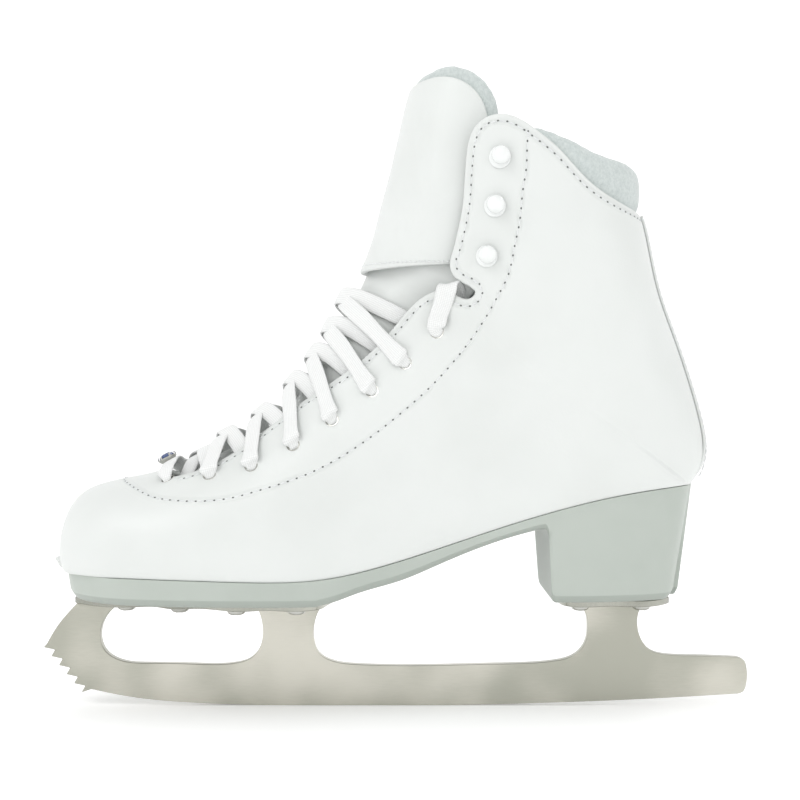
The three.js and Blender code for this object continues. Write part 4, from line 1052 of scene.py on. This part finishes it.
# Half the lace, from the middle of the lowest bar to the inside of the top of the lacing.
def halfLace(firstSide):
    full, narrow, lift, under = (laceSizes[key] for key in ("width", "inHole", "lift", "under"))
    spot = list(zip(eyeletU, eyeletT))
    mix = lambda a, b, share: (a[0] + (b[0] - a[0]) * share, a[1] + (b[1] - a[1]) * share)
    bar = (eyeletU[0], 0.5)
    stops = [laceStop(*mix(bar, spot[0], share), lift + 0.2, firstSide, full) for share in (0.25, 0.6)]
    stops += [laceStop(*mix(bar, spot[0], 0.95), lift + 0.5, firstSide, full * 0.85),
              laceStop(*mix(bar, spot[0], 1.06), 0.4, firstSide, narrow),
              laceStop(*spot[0], -3.0, firstSide, narrow)]
    for i, u in enumerate(crossings):
        side = firstSide if i % 2 == 0 else -firstSide
        middle = (u, 0.5)
        low, high = spot[i], spot[i + 1]
        onTop = 1.5 if side < 0 else 0.0          # the band from the far side lies on top
        if i == 0:
            stops += [laceStop(*mix(low, middle, 0.3), under, side, full * 0.8),
                      laceStop(*mix(low, middle, 0.75), -1.6 + onTop, side, full),
                      laceStop(*mix(high, middle, 0.9), -1.2 + onTop, -side, full)]
        else:
            length = np.linalg.norm(skinBare(*low) - skinBare(*middle))
            stops += [laceStop(*mix(low, middle, 0.9 / length), 0.5, side, full * 0.8),
                      laceStop(*mix(low, middle, 1.1 / length), 1.8, side, full * 0.97),
                      laceStop(*mix(low, middle, 4.2 / length), lift + 0.4, side, full),
                      laceStop(*mix(low, middle, 0.45), lift, side, full),
                      laceStop(*mix(low, middle, 0.8), lift + 0.4 + onTop, side, full),
                      laceStop(*mix(high, middle, 0.88), lift + 0.2 + onTop, -side, full)]
        stops += [laceStop(*mix(high, middle, 0.64), 0.5, -side, full),
                  laceStop(*mix(high, middle, 0.42), -1.7, -side, full),
                  laceStop(*mix(high, middle, 0.28), -3.7, -side, full * 0.95),
                  laceStop(*mix(high, middle, 0.05), under, -side, narrow),
                  laceStop(*mix(high, middle, -0.02), -1.5, -side, narrow)]
    side = firstSide if len(crossings) % 2 == 0 else -firstSide
    top = onSkin(drawn([(15.9, 94.9), (16.2, 96.3), (17.4, 101), (19.4, 106.8), (20.9, 112.3), (22.0, 111.6),
                        (22.6, 106)]))
    for u, t, height, width in zip(*top, (0.9, 2.3, 1.7, 1.9, 0.8, -3.6, -6.2),
                                   (0.8, 0.97, 1.0, 1.06, 1.08, 1.0, 0.9)):
        stop = laceStop(u, t, height, side, full * width)
        stops.append(stop[:3] + [0.95, 0, 0.25] + stop[6:])
    return np.array(stops)


def makeLace():
    near, far = halfLace(1), halfLace(-1)
    middle = np.array([laceStop(eyeletU[0], 0.5, laceSizes["lift"] + 0.3, 1, laceSizes["width"])])
    stops = np.vstack([far[::-1], middle, near])
    route = smoothLine(stops[:, :3], laceSizes["step"], stops[:, 3:])
    widths = np.clip(route[:, 6], laceSizes["inHole"] * 0.9, laceSizes["width"] * 1.12)
    points, faces, layers = band(route[:, :3], route[:, 3:6], widths, laceSizes["thickness"])
    piece = addMesh("lace_band", points, faces, lace, layers, sharp=180.0)
    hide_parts("lace")
    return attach(piece, boot)


# The free ends: tucked down inside the boot, then folded back and forth into a hank on the footbed.
tailRoute = [(21.6, -24.4, 157), (23.4, -23.4, 149), (26.5, -21.5, 138), (28.6, -20, 125), (28.6, -18, 113),
             (26.6, -16.4, 103)]
hankSizes = dict(place=(38, 13, 89), slope=18.0, run=42.0, rows=(-7.0, 0.0, 7.0), layers=(5.1, 1.8),
                 width=6.4, tipWidth=3.0, thickness=1.2, step=1.6, agletStart=-10.5, agletHeight=9.1,
                 agletRadius=1.5, agletLength=18.0, tieWidth=5.0, tieThickness=0.6, tiePoints=49)


def hankPoint(x, y, z):                  # a place in the hank's own frame, on the near side
    slope = math.radians(hankSizes["slope"])
    px, py, pz = hankSizes["place"]
    return (px + x * math.cos(slope) - z * math.sin(slope), y - py,
            pz + x * math.sin(slope) + z * math.cos(slope))


def hankRoute():
    run, rows, (high, low) = hankSizes["run"], hankSizes["rows"], hankSizes["layers"]
    route = [(-4.5, -5.4, 12.2), (0, -6.6, 9.2), (8, -7, 6.4), (18, -7, high)]
    half = (rows[1] - rows[0]) / 2
    for height, order in ((high, rows), (low, rows[::-1])):
        for k, y in enumerate(order):
            ahead = 1 if (k % 2 == 0) == (height == high) else -1
            start = -ahead * run if (k or height == low) else 24
            route += [(start + (ahead * run - start) * s, y, height) for s in np.linspace(0, 1, 9)]
            if k < 2:
                turnTo = order[k + 1]
                for s in np.linspace(0.1, 0.9, 9):
                    route.append((ahead * (run + half * math.sin(math.pi * s)),
                                  (y + turnTo) / 2 + (y - turnTo) / 2 * math.cos(math.pi * s), height))
        if height == high:
            route += [(run + 2.4 * math.sin(math.pi * s), rows[2], (high + low) / 2
                       + (high - low) / 2 * math.cos(math.pi * s)) for s in (0.2, 0.5, 0.8)]
    top = hankSizes["agletHeight"]
    route += [(-run - 3.6 * math.sin(math.pi * s), rows[0],
               (top + low) / 2 - (top - low) / 2 * math.cos(math.pi * s)) for s in (0.2, 0.4, 0.6, 0.8)]
    route += [(-run + 6, rows[0], top), (-run + 14, rows[0] * 0.6, top), (-run + 23, rows[0] * 0.15, top),
              (hankSizes["agletStart"], 0, top)]
    return [hankPoint(*place) for place in route]


def makeTails():
    slope = math.radians(hankSizes["slope"])
    upward = np.array([-math.sin(slope), 0, math.cos(slope)])
    for name, side in (("near", 1), ("far", -1)):
        flip = np.array([1, side, 1])
        folded = np.array(hankRoute())
        route = smoothLine(np.vstack([tailRoute, folded]), hankSizes["step"])
        tail = len(smoothLine(np.vstack([tailRoute, folded[:1]]), hankSizes["step"]))
        run = np.gradient(route, axis=0)
        guides = np.cross(upward, run)
        guides[np.linalg.norm(guides, axis=1) < 0.25] = (0, 1, 0)
        share = np.clip(np.arange(len(route)) / tail, 0, 1)[:, None]
        first = np.array([1.0, 0, 0])
        for k in range(len(route)):
            blended = first * (1 - share[k] ** 2) + guides[k] / np.linalg.norm(guides[k]) * share[k] ** 2
            if k and blended @ guides[k - 1] < 0:
                blended = -blended if share[k] >= 1 else blended
            guides[k] = blended / np.linalg.norm(blended)
        widths = np.full(len(route), hankSizes["width"])
        widths[-10:] = np.linspace(hankSizes["width"], hankSizes["tipWidth"], 10)
        points, faces, layers = band(route * flip, guides * flip, widths, hankSizes["thickness"], 10)
        cord = addMesh("lace_end_" + name, points, faces, lace, layers, sharp=180.0)
        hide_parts("lace_tail_" + name, "lace_hank_" + name)
        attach(cord, boot)

        radius, length = hankSizes["agletRadius"], hankSizes["agletLength"]
        stations = [(-0.4, 1.25), (0, 1.2), (0.4, 1.0), (0.9, 0.92), (1.4, 1.0), (length - 2, 1.0),
                    (length - 0.8, 0.8), (length, 0.3)]
        rings, sides = [], 16
        for along, fat in stations:
            for k in range(sides):
                turn = 2 * math.pi * k / sides
                x, y, z = hankPoint(-length / 2 + along, radius * fat * math.cos(turn),
                                    hankSizes["agletHeight"] + radius * fat * math.sin(turn))
                rings.append((x, y * side, z))
        aglet = addMesh("aglet_tube_" + name, rings, tubeFaces(len(stations), sides), nickel)
        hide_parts("aglet_" + name)
        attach(aglet, boot)

        loop = [hankPoint(14, 11.2 * math.copysign(abs(math.cos(a)) ** 0.35, math.cos(a)),
                          3.45 + 3.6 * math.copysign(abs(math.sin(a)) ** 0.35, math.sin(a)))
                for a in np.linspace(0, 2 * math.pi, hankSizes["tiePoints"])]
        straight = np.tile((math.cos(slope), 0, math.sin(slope)), (hankSizes["tiePoints"], 1))
        points, faces, layers = band(np.array(loop) * flip, straight, hankSizes["tieWidth"],
                                     hankSizes["tieThickness"], 8)
        tie = addMesh("hank_tie_" + name, points, faces, lace, layers, sharp=180.0)
        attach(tie, boot)
        way = route * flip
        tuple(way[0] * mm)
        [tuple(p * mm) for p in way]


makeLace()
makeTails()
print("lace made")


# ---- hooks and eyelets
def frameAt(u, t, side):
    flip = np.array([1, side, 1])
    out = (skinNormal(u, t) * flip).ravel()
    up = np.array([0.0, 0, 1]) - out * out[2]
    up /= np.linalg.norm(up)
    return (skinBare(u, t) * flip).ravel(), out, up, np.cross(up, out)


# A turned shape about an axis: profile holds radius and height, middles how far each ring is off the axis.
def turned(profile, place, out, up, over, sides, middles=None, closed=True):
    points = []
    for k, (radius, height) in enumerate(profile):
        shift = middles[k] if middles is not None else (0, 0)
        for j in range(sides):
            turn = 2 * math.pi * j / sides
            points.append(place + out * height + over * (shift[0] + radius * math.cos(turn))
                          + up * (shift[1] + radius * math.sin(turn)))
    return points, tubeFaces(len(profile), sides, closed)


hookSizes = dict(base=4.25, neck=1.5, cap=3.55, neckLean=(0.7, 0.45), capLean=(1.0, 0.7), height=5.0,
                 sides=36)


def makeHooks():
    for name, side in (("near", 1), ("far", -1)):
        for k in range(3):
            place, out, up, over = frameAt(hookU[k], hookT[k], side)
            over = over * (1 if over[0] > 0 else -1)
            base, neck, cap, high = (hookSizes[key] for key in ("base", "neck", "cap", "height"))
            foot = [(0.01, 0.1), (base - 0.3, 0.1), (base, 0.3), (base, 0.55), (base - 0.35, 0.85),
                    (neck + 1.0, 0.95), (neck, 1.3), (neck, high - 2.6), (neck * 0.6, high - 2.2),
                    (0.01, high - 2.0)]
            lean = [(0, 0)] * 6 + [hookSizes["neckLean"]] * 4
            points, faces = turned(foot, place, out, up, over, hookSizes["sides"], lean)
            low = addMesh(f"hook_foot_{name}_{k + 1}", points, faces, enamel)
            dome = [(0.01, high - 2.5), (cap - 0.5, high - 2.6), (cap - 0.1, high - 2.4), (cap, high - 2.05),
                    (cap * 0.93, high - 1.35), (cap * 0.76, high - 0.7), (cap * 0.5, high - 0.25),
                    (cap * 0.25, high - 0.05), (0.01, high)]
            lean = [hookSizes["capLean"]] * len(dome)
            points, faces = turned(dome, place, out, up, over, hookSizes["sides"], lean)
            head = addMesh(f"hook_cap_{name}_{k + 1}", points, faces, enamel, sharp=180.0)
            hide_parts(f"hook_{name}_{k + 1}")
            for piece in (low, head):
                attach(piece, boot)


eyeletSizes = dict(bore=1.95, lip=2.75, back=4.1, deep=4.2, sides=28)


def makeEyelets():
    bore, lip, back, deep, sides = eyeletSizes.values()
    profile = [(bore, -0.2), (bore + 0.2, 0.02), (lip - 0.15, 0.06), (lip, -0.1), (2.45, -0.5), (2.4, -3.5),
               (back, -3.6), (back, -deep), (bore, -deep)]
    for name, side in (("near", 1), ("far", -1)):
        for k in range(len(eyeletU)):
            place, out, up, over = frameAt(eyeletU[k], eyeletT[k], side)
            points, faces = turned(profile + profile[:1], place, out, up, over, sides, closed=False)
            piece = addMesh(f"eyelet_ring_{name}_{k + 1}", points, faces, nickel, sharp=40.0)
            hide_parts(f"eyelet_{name}_{k + 1}")
            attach(piece, boot)


makeHooks()
makeEyelets()
print("hooks and eyelets made")


# ---- moulded sole and heel
soleSizes = dict(rim=0.8, toeIn=2.6, shoulder=0.6, bevelHigh=3.0, bevelIn=1.5, taper=0.16, breast=58.6,
                 breastRound=1.6, breastHigh=16.5, breastFrom=55.0)
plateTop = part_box("sole_plate")[1][2] / mm
soleBottom = plateTop + gap
underside = smoothLine(drawn([(-30, -10.7), (-22, -8.7), (-14, -5.9), (2, -1.5), (17, 4.6), (33, 11.2),
                              (48, 16.2), (55.5, 18.2)]), 1.5)
breastCorner = [(57.6, 18.4), (58.3, 17.6), (58.7, 16.2)]
breastLine = drawn(breastCorner + [(59.0 + 1.3 * s, 15.5 - 23.2 * s) for s in np.linspace(0, 1, 12)]
                   + [(60.5, -9.0), (60.9, -10.0), (61.8, -10.6), (62.5, -10.7)])
undersideLine = np.vstack([[(-160, soleBottom), (-31, soleBottom)], underside, breastLine,
                           [(160, soleBottom)]])


def makeSole():
    fine = np.linspace(0.0, heelSection, 3000)
    values = sectionAt(fine)
    plan = values[:, [0, 4]].copy()
    run = np.gradient(plan, axis=0)
    run /= np.linalg.norm(run, axis=1, keepdims=True)
    inward = np.stack([run[:, 1], -run[:, 0]], axis=1)
    rim = np.interp(fine, [0.8, 3.5], [-soleSizes["toeIn"], soleSizes["rim"]])
    plan -= inward * rim[:, None]
    plan[:, 1] = np.maximum(plan[:, 1], 0)
    top = values[:, 1] - 0.08
    top[fine < 1.6] = np.interp(1.6, fine, top)
    far = measure(plan)
    picks = np.interp(np.linspace(0, far[-1], 150), far, fine)
    for x in undersideLine[2:-1, 0]:
        picks = np.append(picks, np.interp(x, values[:, 0], fine))
    picks = np.unique(np.round(picks, 4))
    upright = breastLine[len(breastCorner) - 1:, 0]      # here the stations come from the breast's own points
    stations = []
    for u in picks:
        if not upright[0] < np.interp(u, fine, plan[:, 0]) < upright[-1]:
            stations.append((u, None))
    for x, z in undersideLine[2:-1]:
        if x > soleSizes["breastFrom"]:
            stations.append((float(np.interp(x, plan[:, 0], fine)), z))
    stations.sort(key=lambda s: (s[0], -(s[1] or 999)))
    rings, bevelShadeMarks = [], []
    for u, lowest in stations:
        px, py = (np.interp(u, fine, plan[:, k]) for k in (0, 1))
        nx, ny = (np.interp(u, fine, inward[:, k]) for k in (0, 1))
        high = np.interp(u, fine, top)
        low = np.interp(px, undersideLine[:, 0], undersideLine[:, 1]) if lowest is None else lowest
        low = max(low, soleBottom)
        bevelHigh = min(soleSizes["bevelHigh"], (high - low) * 0.4)
        shoulder, bevelIn = high - soleSizes["shoulder"], soleSizes["bevelIn"]
        levels = [(high, 0.0, 0), (high - 0.25, 0.0, 0), (shoulder, 0.0, 0)]
        levels += [(shoulder - (shoulder - low - bevelHigh) * s, 0.0, 0) for s in np.linspace(0.12, 1, 9)]
        # mark 1 picks the bevel turning in under the sole, which the sole material tints darker as painted
        # shade
        levels += [(low + bevelHigh * (1 - s), bevelIn * s ** 1.5, 1) for s in (0.12, 0.4, 0.7, 0.88)]
        levels += [(low + bevelHigh * 0.03, bevelIn * 1.1, 1), (low, bevelIn + 0.6, 1)]
        breastTop = soleEdge + soleSizes["breastHigh"]
        turn = np.clip(1 - (px - soleSizes["breast"]) / 2.4, 0, 1) ** 2 * soleSizes["breastRound"]
        ring, marks = [], []
        for z, further, mark in levels:
            depth = max(0, high - z) * soleSizes["taper"] + further
            if px > soleSizes["breast"] - 1 and z < breastTop:
                depth += turn * min(1, (breastTop - z) / 2)
            ring.append((px + nx * depth, max(py + ny * depth, 0.4), z))
            marks.append(mark)
        rings.append([(x, -y, z) for x, y, z in ring] + [(x, y, z) for x, y, z in ring[::-1]])
        bevelShadeMarks.append(marks + marks[::-1])
    count = len(rings[0])
    faces = tubeFaces(len(rings), count, False)
    last = (len(rings) - 1) * count
    for j in range(count // 2 - 1):
        faces.append((j, count - 1 - j, count - 2 - j, j + 1))
        faces.append((last + j, last + j + 1, last + count - 2 - j, last + count - 1 - j))
    piece = addMesh("sole_unit", np.vstack([np.array(r) for r in rings]), faces, soleRubber,
                    {"bevel": np.concatenate(bevelShadeMarks)}, sharp=42.0)
    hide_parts("outsole")
    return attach(piece, boot)


makeSole()
print("sole made")


# ---- blade, plates and screws
bladeSizes = dict(half=2.0, edge=0.45, hollow=0.7, hollowFrom=-124.0, hollowHigh=6.4, teeth=6,
                  toothStep=(3.08, -3.65))
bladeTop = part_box("blade_runner")[1][2] / mm
drawnBladeTop = 41.7
stanchionTops = ((-128.8, -111), (-57, -29), (73.5, 100.5))   # from x to x, under the plates


def bladeOutline():
    points = [(-128.8, drawnBladeTop)]
    teeth, (ahead, up) = bladeSizes["teeth"], bladeSizes["toothStep"]

    def curve(*through):
        points.extend(smoothLine([points[-1]] + list(through), 1.2)[1:].tolist())

    curve((-133, 37.2), (-136.6, 32.8), (-141.3, 25))
    for tooth in range(teeth):
        points.append((-142.6 + ahead * tooth, 23.6 + up * tooth))
        if tooth < teeth - 1:
            points.append((-138.0 + ahead * tooth, 22.6 + up * tooth))
    points.append((-123.4, 6.6))
    curve((-112, 4.2), (-95.7, 2), (-79.5, 0.9), (-63, 0.25), (-40, 0.02), (-10, 0), (20, 0.08), (58.7, 0.9),
          (91.3, 2.1), (123.8, 3.8), (138.6, 4.7))
    curve((140.8, 5.5), (141.9, 7.6))
    curve((142.5, 12), (142.2, 16))
    curve((141.2, 18.4), (138.6, 19.6))
    curve((122, 20.2), (109.6, 20.7), (103.5, 22.4), (99.8, 26.4), (98.0, 33), (98.6, 38),
          (100.5, drawnBladeTop))
    points.append((73.5, drawnBladeTop))
    curve((76.6, 38.4), (77.8, 32.3), (76.8, 25.6), (73, 20.9), (64.8, 18.2), (42.5, 16.9), (1.8, 16.2),
          (-16, 16.7), (-25.8, 18.2), (-31, 21.4), (-33, 26.6), (-32.9, 33), (-31.3, 38),
          (-29, drawnBladeTop))
    points.append((-57, drawnBladeTop))
    curve((-54.7, 36.4), (-53.7, 30), (-54.8, 24), (-58.2, 19.6), (-65.2, 17.2), (-82, 16.9), (-100, 17.2),
          (-112, 18.6), (-117.6, 22.4), (-119.5, 27.5), (-118.4, 34), (-115.4, 38.4),
          (-111, drawnBladeTop))
    return np.array(points)


def makeBlade():
    line = bladeOutline() * (1, bladeTop / drawnBladeTop)
    count = len(line)
    half = bladeSizes["half"]
    ice = (line[:, 1] < bladeSizes["hollowHigh"]) & (line[:, 0] > bladeSizes["hollowFrom"])
    rows = []
    for y, rise in ((-half, 0.0), (-half * 0.55, 0.75), (0.0, 1.0), (half * 0.55, 0.75), (half, 0.0)):
        lift = np.where(ice, bladeSizes["hollow"] * rise, 0.0)
        rows.append(np.stack([line[:, 0], np.full(count, y), line[:, 1] + lift], axis=1))
    faces = tubeFaces(len(rows), count, False)
    faces.append(tuple(range(count)))
    faces.append(tuple(range((len(rows) - 1) * count, len(rows) * count))[::-1])
    piece = addMesh("blade_plate", np.vstack(rows), faces, bladeSteel, sharp=30.0)
    bevelled(piece, bladeSizes["edge"], 2, 60.0)
    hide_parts("blade_runner")
    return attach(piece, boot)


plateSizes = dict(edge=0.5, weld=1.6)
# the near half of each plate from above: x, and how far it reaches to the side
solePlan = [(-129, 5), (-125, 9), (-114, 17), (-105, 18), (-96, 16.5), (-87, 23), (-79, 22), (-70, 25),
            (-60, 30), (-50, 27), (-40, 29.5), (-31, 26), (-27, 14), (-25.5, 6)]
heelPlan = [(65.5, 6), (68, 15), (74, 18), (86, 15), (97, 17), (105, 13), (110, 6)]


def makePlates():
    for name, plan in (("sole_plate", solePlan), ("heel_plate", heelPlan)):
        line = smoothLine(plan, 1.5)
        ring = np.vstack([line * (1, -1), line[::-1]])
        low, high = (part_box(name)[k][2] / mm for k in (0, 1))
        count = len(ring)
        points = np.vstack([np.column_stack([ring, np.full(count, z)]) for z in (low, high)])
        faces = [tuple(range(count)), tuple(range(count, 2 * count))[::-1]]
        faces += [(k, count + k, count + (k + 1) % count, (k + 1) % count) for k in range(count)]
        piece = addMesh(name + "_pressed", points, faces, plateSteel)
        bevelled(piece, plateSizes["edge"], 3, 50.0)
        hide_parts(name)
        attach(piece, boot)
    for k, (first, last) in enumerate(stanchionTops):
        weld, half = plateSizes["weld"], bladeSizes["half"]
        ring = [(half + 0.05, -weld), (half + 0.35, -weld * 0.45), (half + weld * 0.5, -0.2),
                (half + weld, 0.28)]
        rounds = np.array([(-y, z) for y, z in ring] + ring[::-1])
        xs = np.linspace(first - 0.6, last + 0.6, 24)
        tight = np.clip(np.minimum(xs - xs[0], xs[-1] - xs) / 1.5, 0, 1) ** 0.5
        points = [(x, y * (0.35 + 0.65 * s), bladeTop + z) for x, s in zip(xs, tight) for y, z in rounds]
        piece = addMesh(f"weld_{k + 1}", points, tubeFaces(len(xs), len(rounds)), bladeSteel, sharp=50.0)
        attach(piece, boot)


screwSizes = dict(head=3.6, high=1.75, slot=0.75, deep=0.7, shank=1.7, sunk=4.0, turnPerX=1.7)


def makeScrews():
    for name in sorted(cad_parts):
        if "_screw_" not in name:
            continue
        low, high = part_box(name)
        x, y = (low[0] + high[0]) / 2 / mm, (low[1] + high[1]) / 2 / mm
        under = low[2] / mm
        head, tall, slot, deep, shank, sunk, turnPerX = screwSizes.values()
        profile = [(shank, tall + sunk), (shank, tall), (head, tall), (head, tall - 0.35), (head * 0.9, 0.75),
                   (head * 0.7, 0.32), (head * 0.45, 0.08), (head * 0.2, 0.0), (0.01, 0.0)]
        rings, sides = [], 32
        for r, z in profile:
            for k in range(sides):
                turn = 2 * math.pi * k / sides + x
                px, py = r * math.cos(turn), r * math.sin(turn)
                rings.append((x + px, y + py, under + z))
        points = np.array(rings)
        local = points[:, :2] - (x, y)
        angle = x * turnPerX             # each cross slot stands at its own angle
        for direction in ((math.cos(angle), math.sin(angle)), (-math.sin(angle), math.cos(angle))):
            off = np.abs(local @ direction)
            reach = np.abs(local @ (-direction[1], direction[0]))
            cut = (off < slot) & (reach < head * 0.6) & (points[:, 2] < under + tall - 0.4)
            points[cut, 2] = under + deep
        piece = addMesh(name + "_round", points, tubeFaces(len(profile), sides), nickel, sharp=35.0)
        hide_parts(name)
        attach(piece, boot)


makeBlade()
makePlates()
makeScrews()
print("blade made")


# ---- backstay, footbed and charm
backstaySizes = dict(thickness=1.0, low=9.5, high=8.0, top=141.0, stitch=1.8, columns=21)


def makeBackstay():
    us = np.linspace(heelSection + 0.45, 20.0, 120)
    columns = backstaySizes["columns"]
    us = us[sideView(skinBare(us, 0.0))[:, 1] < soleEdge + backstaySizes["top"]]
    points, normals, seams = [], [], [[], []]
    for k, u in enumerate(us):
        ts = np.linspace(0, 0.16, 200)
        line = skinBare(u, ts)
        along = measure(line)
        width = backstaySizes["low"] + (backstaySizes["high"] - backstaySizes["low"]) * k / len(us)
        t = np.interp(np.abs(np.linspace(-width, width, columns)), along, ts)
        t = np.where(np.arange(columns) < columns / 2, t, 1 - t)
        t = np.where(np.arange(columns) > columns // 2, t, np.minimum(t, 0.5))
        points.append(skinBare(u, t))
        normals.append(skinNormal(u, t))
        seamT = np.interp(width - backstaySizes["stitch"], along, ts)
        for side, tt in enumerate((seamT, 1 - seamT)):
            seams[side].append((*(skinBare(u, tt) + skinNormal(u, tt) * (backstaySizes["thickness"] + 0.1)),
                                *skinNormal(u, tt)))
    foot = np.interp(np.arange(len(us)), [0, 16], [0.12, 1.0])      # the strip is skived thin at its foot
    proud = np.repeat(foot, columns) * backstaySizes["thickness"]
    points, normals = np.vstack(points), np.vstack(normals)
    faces = [(k * columns + j, k * columns + j + 1, (k + 1) * columns + j + 1, (k + 1) * columns + j)
             for k in range(len(us) - 1) for j in range(columns - 1)]
    shell, solid, _ = thickened(points + normals * proud[:, None], faces, normals,
                                backstaySizes["thickness"] - 0.05, 0.35, 4)
    piece = addMesh("backstay_strip", shell, solid, leatherPlain, sharp=180.0)
    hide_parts("backstay")
    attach(piece, boot)
    makeStitches("backstay_seam", [stitchRow(np.array(seam)[:, :3], np.array(seam)[:, 3:],
                                             stitchSizes["backstayPitch"]) for seam in seams], boot)


footbedSizes = dict(thickness=3.4, high=8.1, cup=1.6, side=6.2, columns=31)


def makeFootbed():
    us = np.linspace(1.2, heelSection - 0.1, 90)
    values = sectionAt(us)
    columns = footbedSizes["columns"]
    across = np.linspace(-1, 1, columns)
    rows = []
    for k, u in enumerate(us):
        half = max(values[k, 4] - footbedSizes["side"], 0.5)
        x = values[k, 0] + (3.5 if u < 3 else -4.5 * max(0, (u - 11.5) / 2.4))
        cup = footbedSizes["cup"] * np.abs(across) ** 4
        rows.append(np.stack([np.full(columns, x), half * across,
                              values[k, 1] + footbedSizes["high"] + cup], axis=1))
    faces = [(k * columns + j, k * columns + j + 1, (k + 1) * columns + j + 1, (k + 1) * columns + j)
             for k in range(len(us) - 1) for j in range(columns - 1)]
    points = np.vstack(rows)
    shell, solid, _ = thickened(points, faces, np.tile((0.0, 0, 1), (len(points), 1)),
                                footbedSizes["thickness"], 0.5, 4)
    piece = addMesh("footbed_pad", shell, solid, fleece, sharp=180.0)
    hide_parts("footbed")
    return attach(piece, boot)


charmSizes = dict(radius=3.2, cup=3.75, table=0.55, prongs=6)


def makeCharm():
    u, t = eyeletU[0], 0.5
    out = skinNormal(u, t).ravel()
    place = skin(u - 0.1, t, -(laceSizes["lift"] + laceSizes["thickness"] / 2 - 0.3)).ravel()
    over = np.array([0.0, 1, 0])
    up = np.cross(out, over)
    radius, cup = charmSizes["radius"], charmSizes["cup"]
    profile = [(0.01, 0), (cup * 0.55, 0), (cup * 0.85, 0.45), (cup, 1.5), (cup, 2.0), (radius + 0.1, 2.1),
               (radius * 0.8, 0.9), (0.01, 0.7)]
    points, faces = turned(profile, place, out, up, over, 40)
    points, faces = list(points), list(faces)
    for k in range(charmSizes["prongs"]):
        turn = 2 * math.pi * (k + 0.5) / charmSizes["prongs"]
        arm = over * math.cos(turn) + up * math.sin(turn)
        base = len(points)
        for away, height, fat in ((cup - 0.2, 0.9, 0.34), (cup + 0.08, 1.9, 0.36), (cup - 0.05, 2.6, 0.36),
                                  (cup - 0.55, 3.0, 0.34), (cup - 1.0, 3.1, 0.2)):
            for j in range(8):
                spin = 2 * math.pi * j / 8
                points.append(place + arm * (away + 0.6 * fat * math.cos(spin)) + out * (height + 0.3 * fat)
                              + np.cross(out, arm) * fat * math.sin(spin))
        faces += [tuple(base + v for v in face) for face in tubeFaces(5, 8)]
    setting = addMesh("charm_cup", points, faces, nickel, sharp=50.0)
    sides = 16
    rings = [(0.01, 1.0, 0), (radius * 0.55, 1.25, 0), (radius * 0.99, 2.1, 0.5), (radius, 2.35, 0.5),
             (radius * 0.8, 3.1, 0), (radius * charmSizes["table"], 3.55, 0.5), (0.01, 3.55, 0.5)]
    facets = []
    for r, height, half in rings:
        for k in range(sides):
            paired = 0.7 < r < radius * 0.9
            turn = 2 * math.pi * (k // 2 * 2 + half * 2 if paired else k) / sides
            facets.append(place + out * height + r * (over * math.cos(turn) + up * math.sin(turn)))
    stone = addMesh("charm_stone", facets, tubeFaces(len(rings), sides), crystalBlue, sharp=3.0)
    for piece, node, slot in ((setting, "charm_setting", "nickel"), (stone, "charm_crystal", "blue_crystal")):
        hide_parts(node)
        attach(piece, boot)


makeBackstay()
makeFootbed()
makeCharm()
print("backstay, footbed and charm made")


# ---- inner pieces that keep their own shape
carried = dict(insole_board=fibreBoard, shank=springSteel, heel_counter=stiffSheet, toe_puff=stiffSheet)
for name, look in carried.items():
    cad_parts[name].data.materials.clear()
    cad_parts[name].data.materials.append(look)
print("inner pieces finished")
